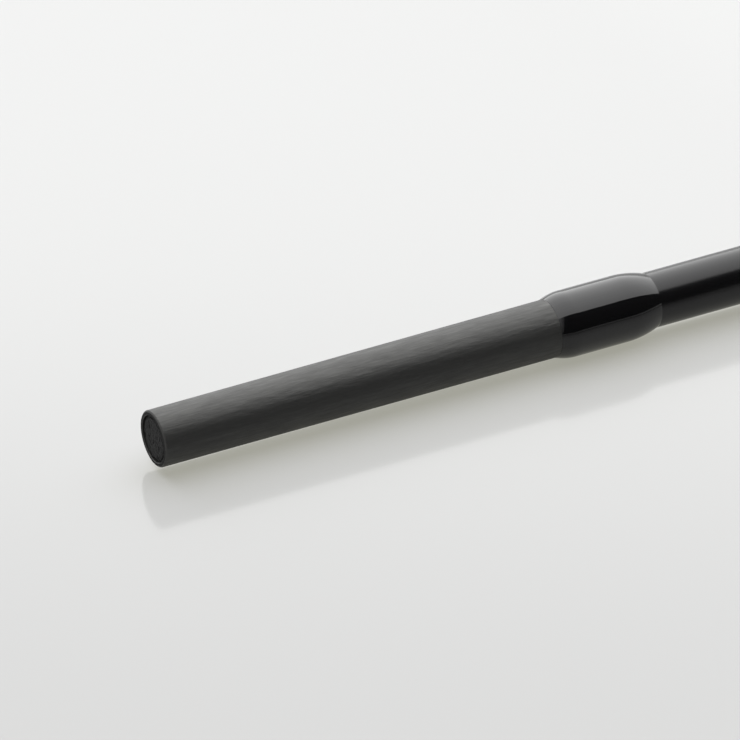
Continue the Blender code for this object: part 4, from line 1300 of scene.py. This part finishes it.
def hood(name, node, opens, body):
    """One hood. Opens is the direction along x in which its pocket opens."""
    low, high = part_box(node)
    lip_x = high.x if opens > 0 else low.x
    tight = seat_radius + SEAT_CLEARANCE
    collar = tight + HOOD_WALL
    ceiling = seat_radius + DECK_RISE + POCKET_HEIGHT
    half = DECK_WIDTH / 2 + DECK_CLEARANCE

    def ring(x, top, side, least, drawn_in=0.0):
        """The hull of an arch and of a circle of radius least. Drawn in by 1 it is the circle."""
        top += (least - top) * drawn_in
        side += (least - side) * drawn_in
        power = ARCH_POWER + (2 - ARCH_POWER) * drawn_in
        turns = all_round(HOOD_STEPS)
        reaches = []
        for turn in turns:
            reach = least
            if math.cos(turn) > 0:
                arch = (math.cos(turn) / top) ** power + (abs(math.sin(turn)) / side) ** power
                reach = max(least, arch ** (-1 / power))
            reaches.append(reach)
        taut = [max(r * math.cos(t - turn) for r, t in zip(reaches, turns)) for turn in turns]
        hull = []
        for turn in turns:
            slants = [math.cos(other - turn) for other in turns]
            hull.append(min(far / slant for far, slant in zip(taut, slants) if slant > STEEPEST))
        return ring_at(lip_x - opens * x, hull)

    def drawn(x):
        """How far the hood is drawn in to its collar at x from its mouth."""
        return ease(x, POCKET_DEPTH * DRAW_FROM, HOOD_LENGTH - HOOD_EDGE) ** DRAW_POWER

    rings = []
    for turn in evenly(0, math.pi / 2, EDGE_STEPS):
        x = HOOD_EDGE * (1 - math.sin(turn))
        less = HOOD_EDGE * (1 - math.cos(turn))
        rings.append(ring(x, ceiling + HOOD_WALL - less, half + HOOD_WALL - less, collar - less))
    rings.reverse()
    for x in evenly(HOOD_EDGE, HOOD_LENGTH - HOOD_EDGE, HOOD_RINGS):
        rings.append(ring(x, ceiling + HOOD_WALL, half + HOOD_WALL, collar, drawn(x)))
    circles = ((HOOD_LENGTH, collar - HOOD_EDGE), (HOOD_LENGTH, tight), (POCKET_DEPTH, tight))
    for x, reach in circles:
        rings.append(ring(x, reach, reach, reach, 1))
    for x in evenly(POCKET_DEPTH - POCKET_CORNER, HOOD_EDGE, POCKET_RINGS):
        rings.append(ring(x, ceiling, half, tight, drawn(x)))
    return finish_mesh(hollow(rings), name, anodised, body, "dark_metal", node)


hood("rear_hood", "fixed_hood", -1, "butt_section")
hood("sliding_hood", "moving_hood", 1, "moving_hood")


# The lock nut: a turned ring with grip ribs all round, set out by geometry nodes. It runs on the
# seat's thread and pushes the sliding hood.

RIBS = 24
RIB_RADIUS = 0.0011
RIB_MARGIN = 0.001
FLUTE = 0.0007
NUT_EDGE = 0.0006
NUT_CLEARANCE = 0.00015

low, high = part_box("lock_nut")
nut_radius = (high.z - low.z) / 2
nut_bore = seat_radius + NUT_CLEARANCE
profile = [
    (low.x, nut_bore), (low.x, nut_radius - FLUTE), (high.x, nut_radius - FLUTE),
    (high.x, nut_bore),
]
bm = turned(rounded_loop(profile, NUT_EDGE), sides=144)
finish_mesh(bm, "nut_ring", anodised, "lock_nut", "dark_metal", "lock_nut")

ribs, given = new_tree("ribs", Count="Int", Circle="Float", Length="Float", Rib="Float")
spots = add(ribs, "GeometryNodeMeshCircle", {
    "Vertices": given["Count"], "Radius": given["Circle"],
})
bar = add(ribs, "GeometryNodeMeshCylinder", {
    "Vertices": 18, "Radius": given["Rib"], "Depth": given["Length"],
})
spread = add(ribs, "GeometryNodeInstanceOnPoints", {
    "Points": spots.outputs["Mesh"], "Instance": bar.outputs["Mesh"],
})
laid(ribs, spread.outputs[0], (low.x + high.x) / 2, anodised)
from_nodes("nut_ribs", ribs, {
    "Count": RIBS, "Circle": nut_radius - RIB_RADIUS, "Rib": RIB_RADIUS,
    "Length": high.x - low.x - 2 * RIB_MARGIN,
}, "lock_nut")


# The butt cap is moulded rubber, rounded at its end and pushed on over the blank, with a turned
# aluminium disc let into it.

# Moulded rubber: flat dark grey, with a fine tooth.
RUBBER_TOOTH = 0.0003333

rubber, tree = new_material("moulded_rubber")
place = add(tree, "ShaderNodeTexCoord").outputs["Object"]
tooth = add(tree, "ShaderNodeTexNoise", {
    "Vector": place, "Scale": 1 / RUBBER_TOOTH, "Detail": 2.0,
})
relief = add(tree, "ShaderNodeBump", {
    "Height": tooth.outputs["Fac"], "Strength": 0.15, "Distance": 0.0001,
})
shader = add(tree, "ShaderNodeBsdfPrincipled", {
    "Base Color": linear("#202022"), "Roughness": 0.6, "Normal": relief.outputs["Normal"],
})
add(tree, "ShaderNodeOutputMaterial", {"Surface": shader.outputs[0]})

CAP_CLEARANCE = 0.0003
CAP_EDGE = 0.0013
CAP_SHOULDER = (0.0025, 0.0005)
DISC_EDGE = 0.0003

low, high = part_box("butt_cap")
disc_low, disc_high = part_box("butt_cap_disc")
cap_radius = (high.z - low.z) / 2
disc_radius = (disc_high.z - disc_low.z) / 2
floor_x = disc_low.x - CAP_CLEARANCE
socket_end = blank_high.x + CAP_CLEARANCE
socket_radius = butt_radius(blank_high.x) + CAP_CLEARANCE
profile = [
    (floor_x, 0), (floor_x, disc_radius + PLUG_GAP), (high.x, disc_radius + PLUG_GAP),
    (high.x, cap_radius - CAP_SHOULDER[1]), (high.x - CAP_SHOULDER[0], cap_radius),
    (low.x, cap_radius), (low.x, socket_radius), (socket_end, socket_radius), (socket_end, 0),
]
finish_mesh(turned(rounded(profile, CAP_EDGE, 6), sides=144), "butt_rubber", rubber,
            "butt_section", "butt_rubber", "butt_cap")
profile = [(disc_low.x, 0), (disc_low.x, disc_radius), (disc_high.x, disc_radius), (disc_high.x, 0)]
finish_mesh(turned(rounded(profile, DISC_EDGE, 4), sides=144), "butt_disc", anodised,
            "butt_section", "dark_metal", "butt_cap_disc")
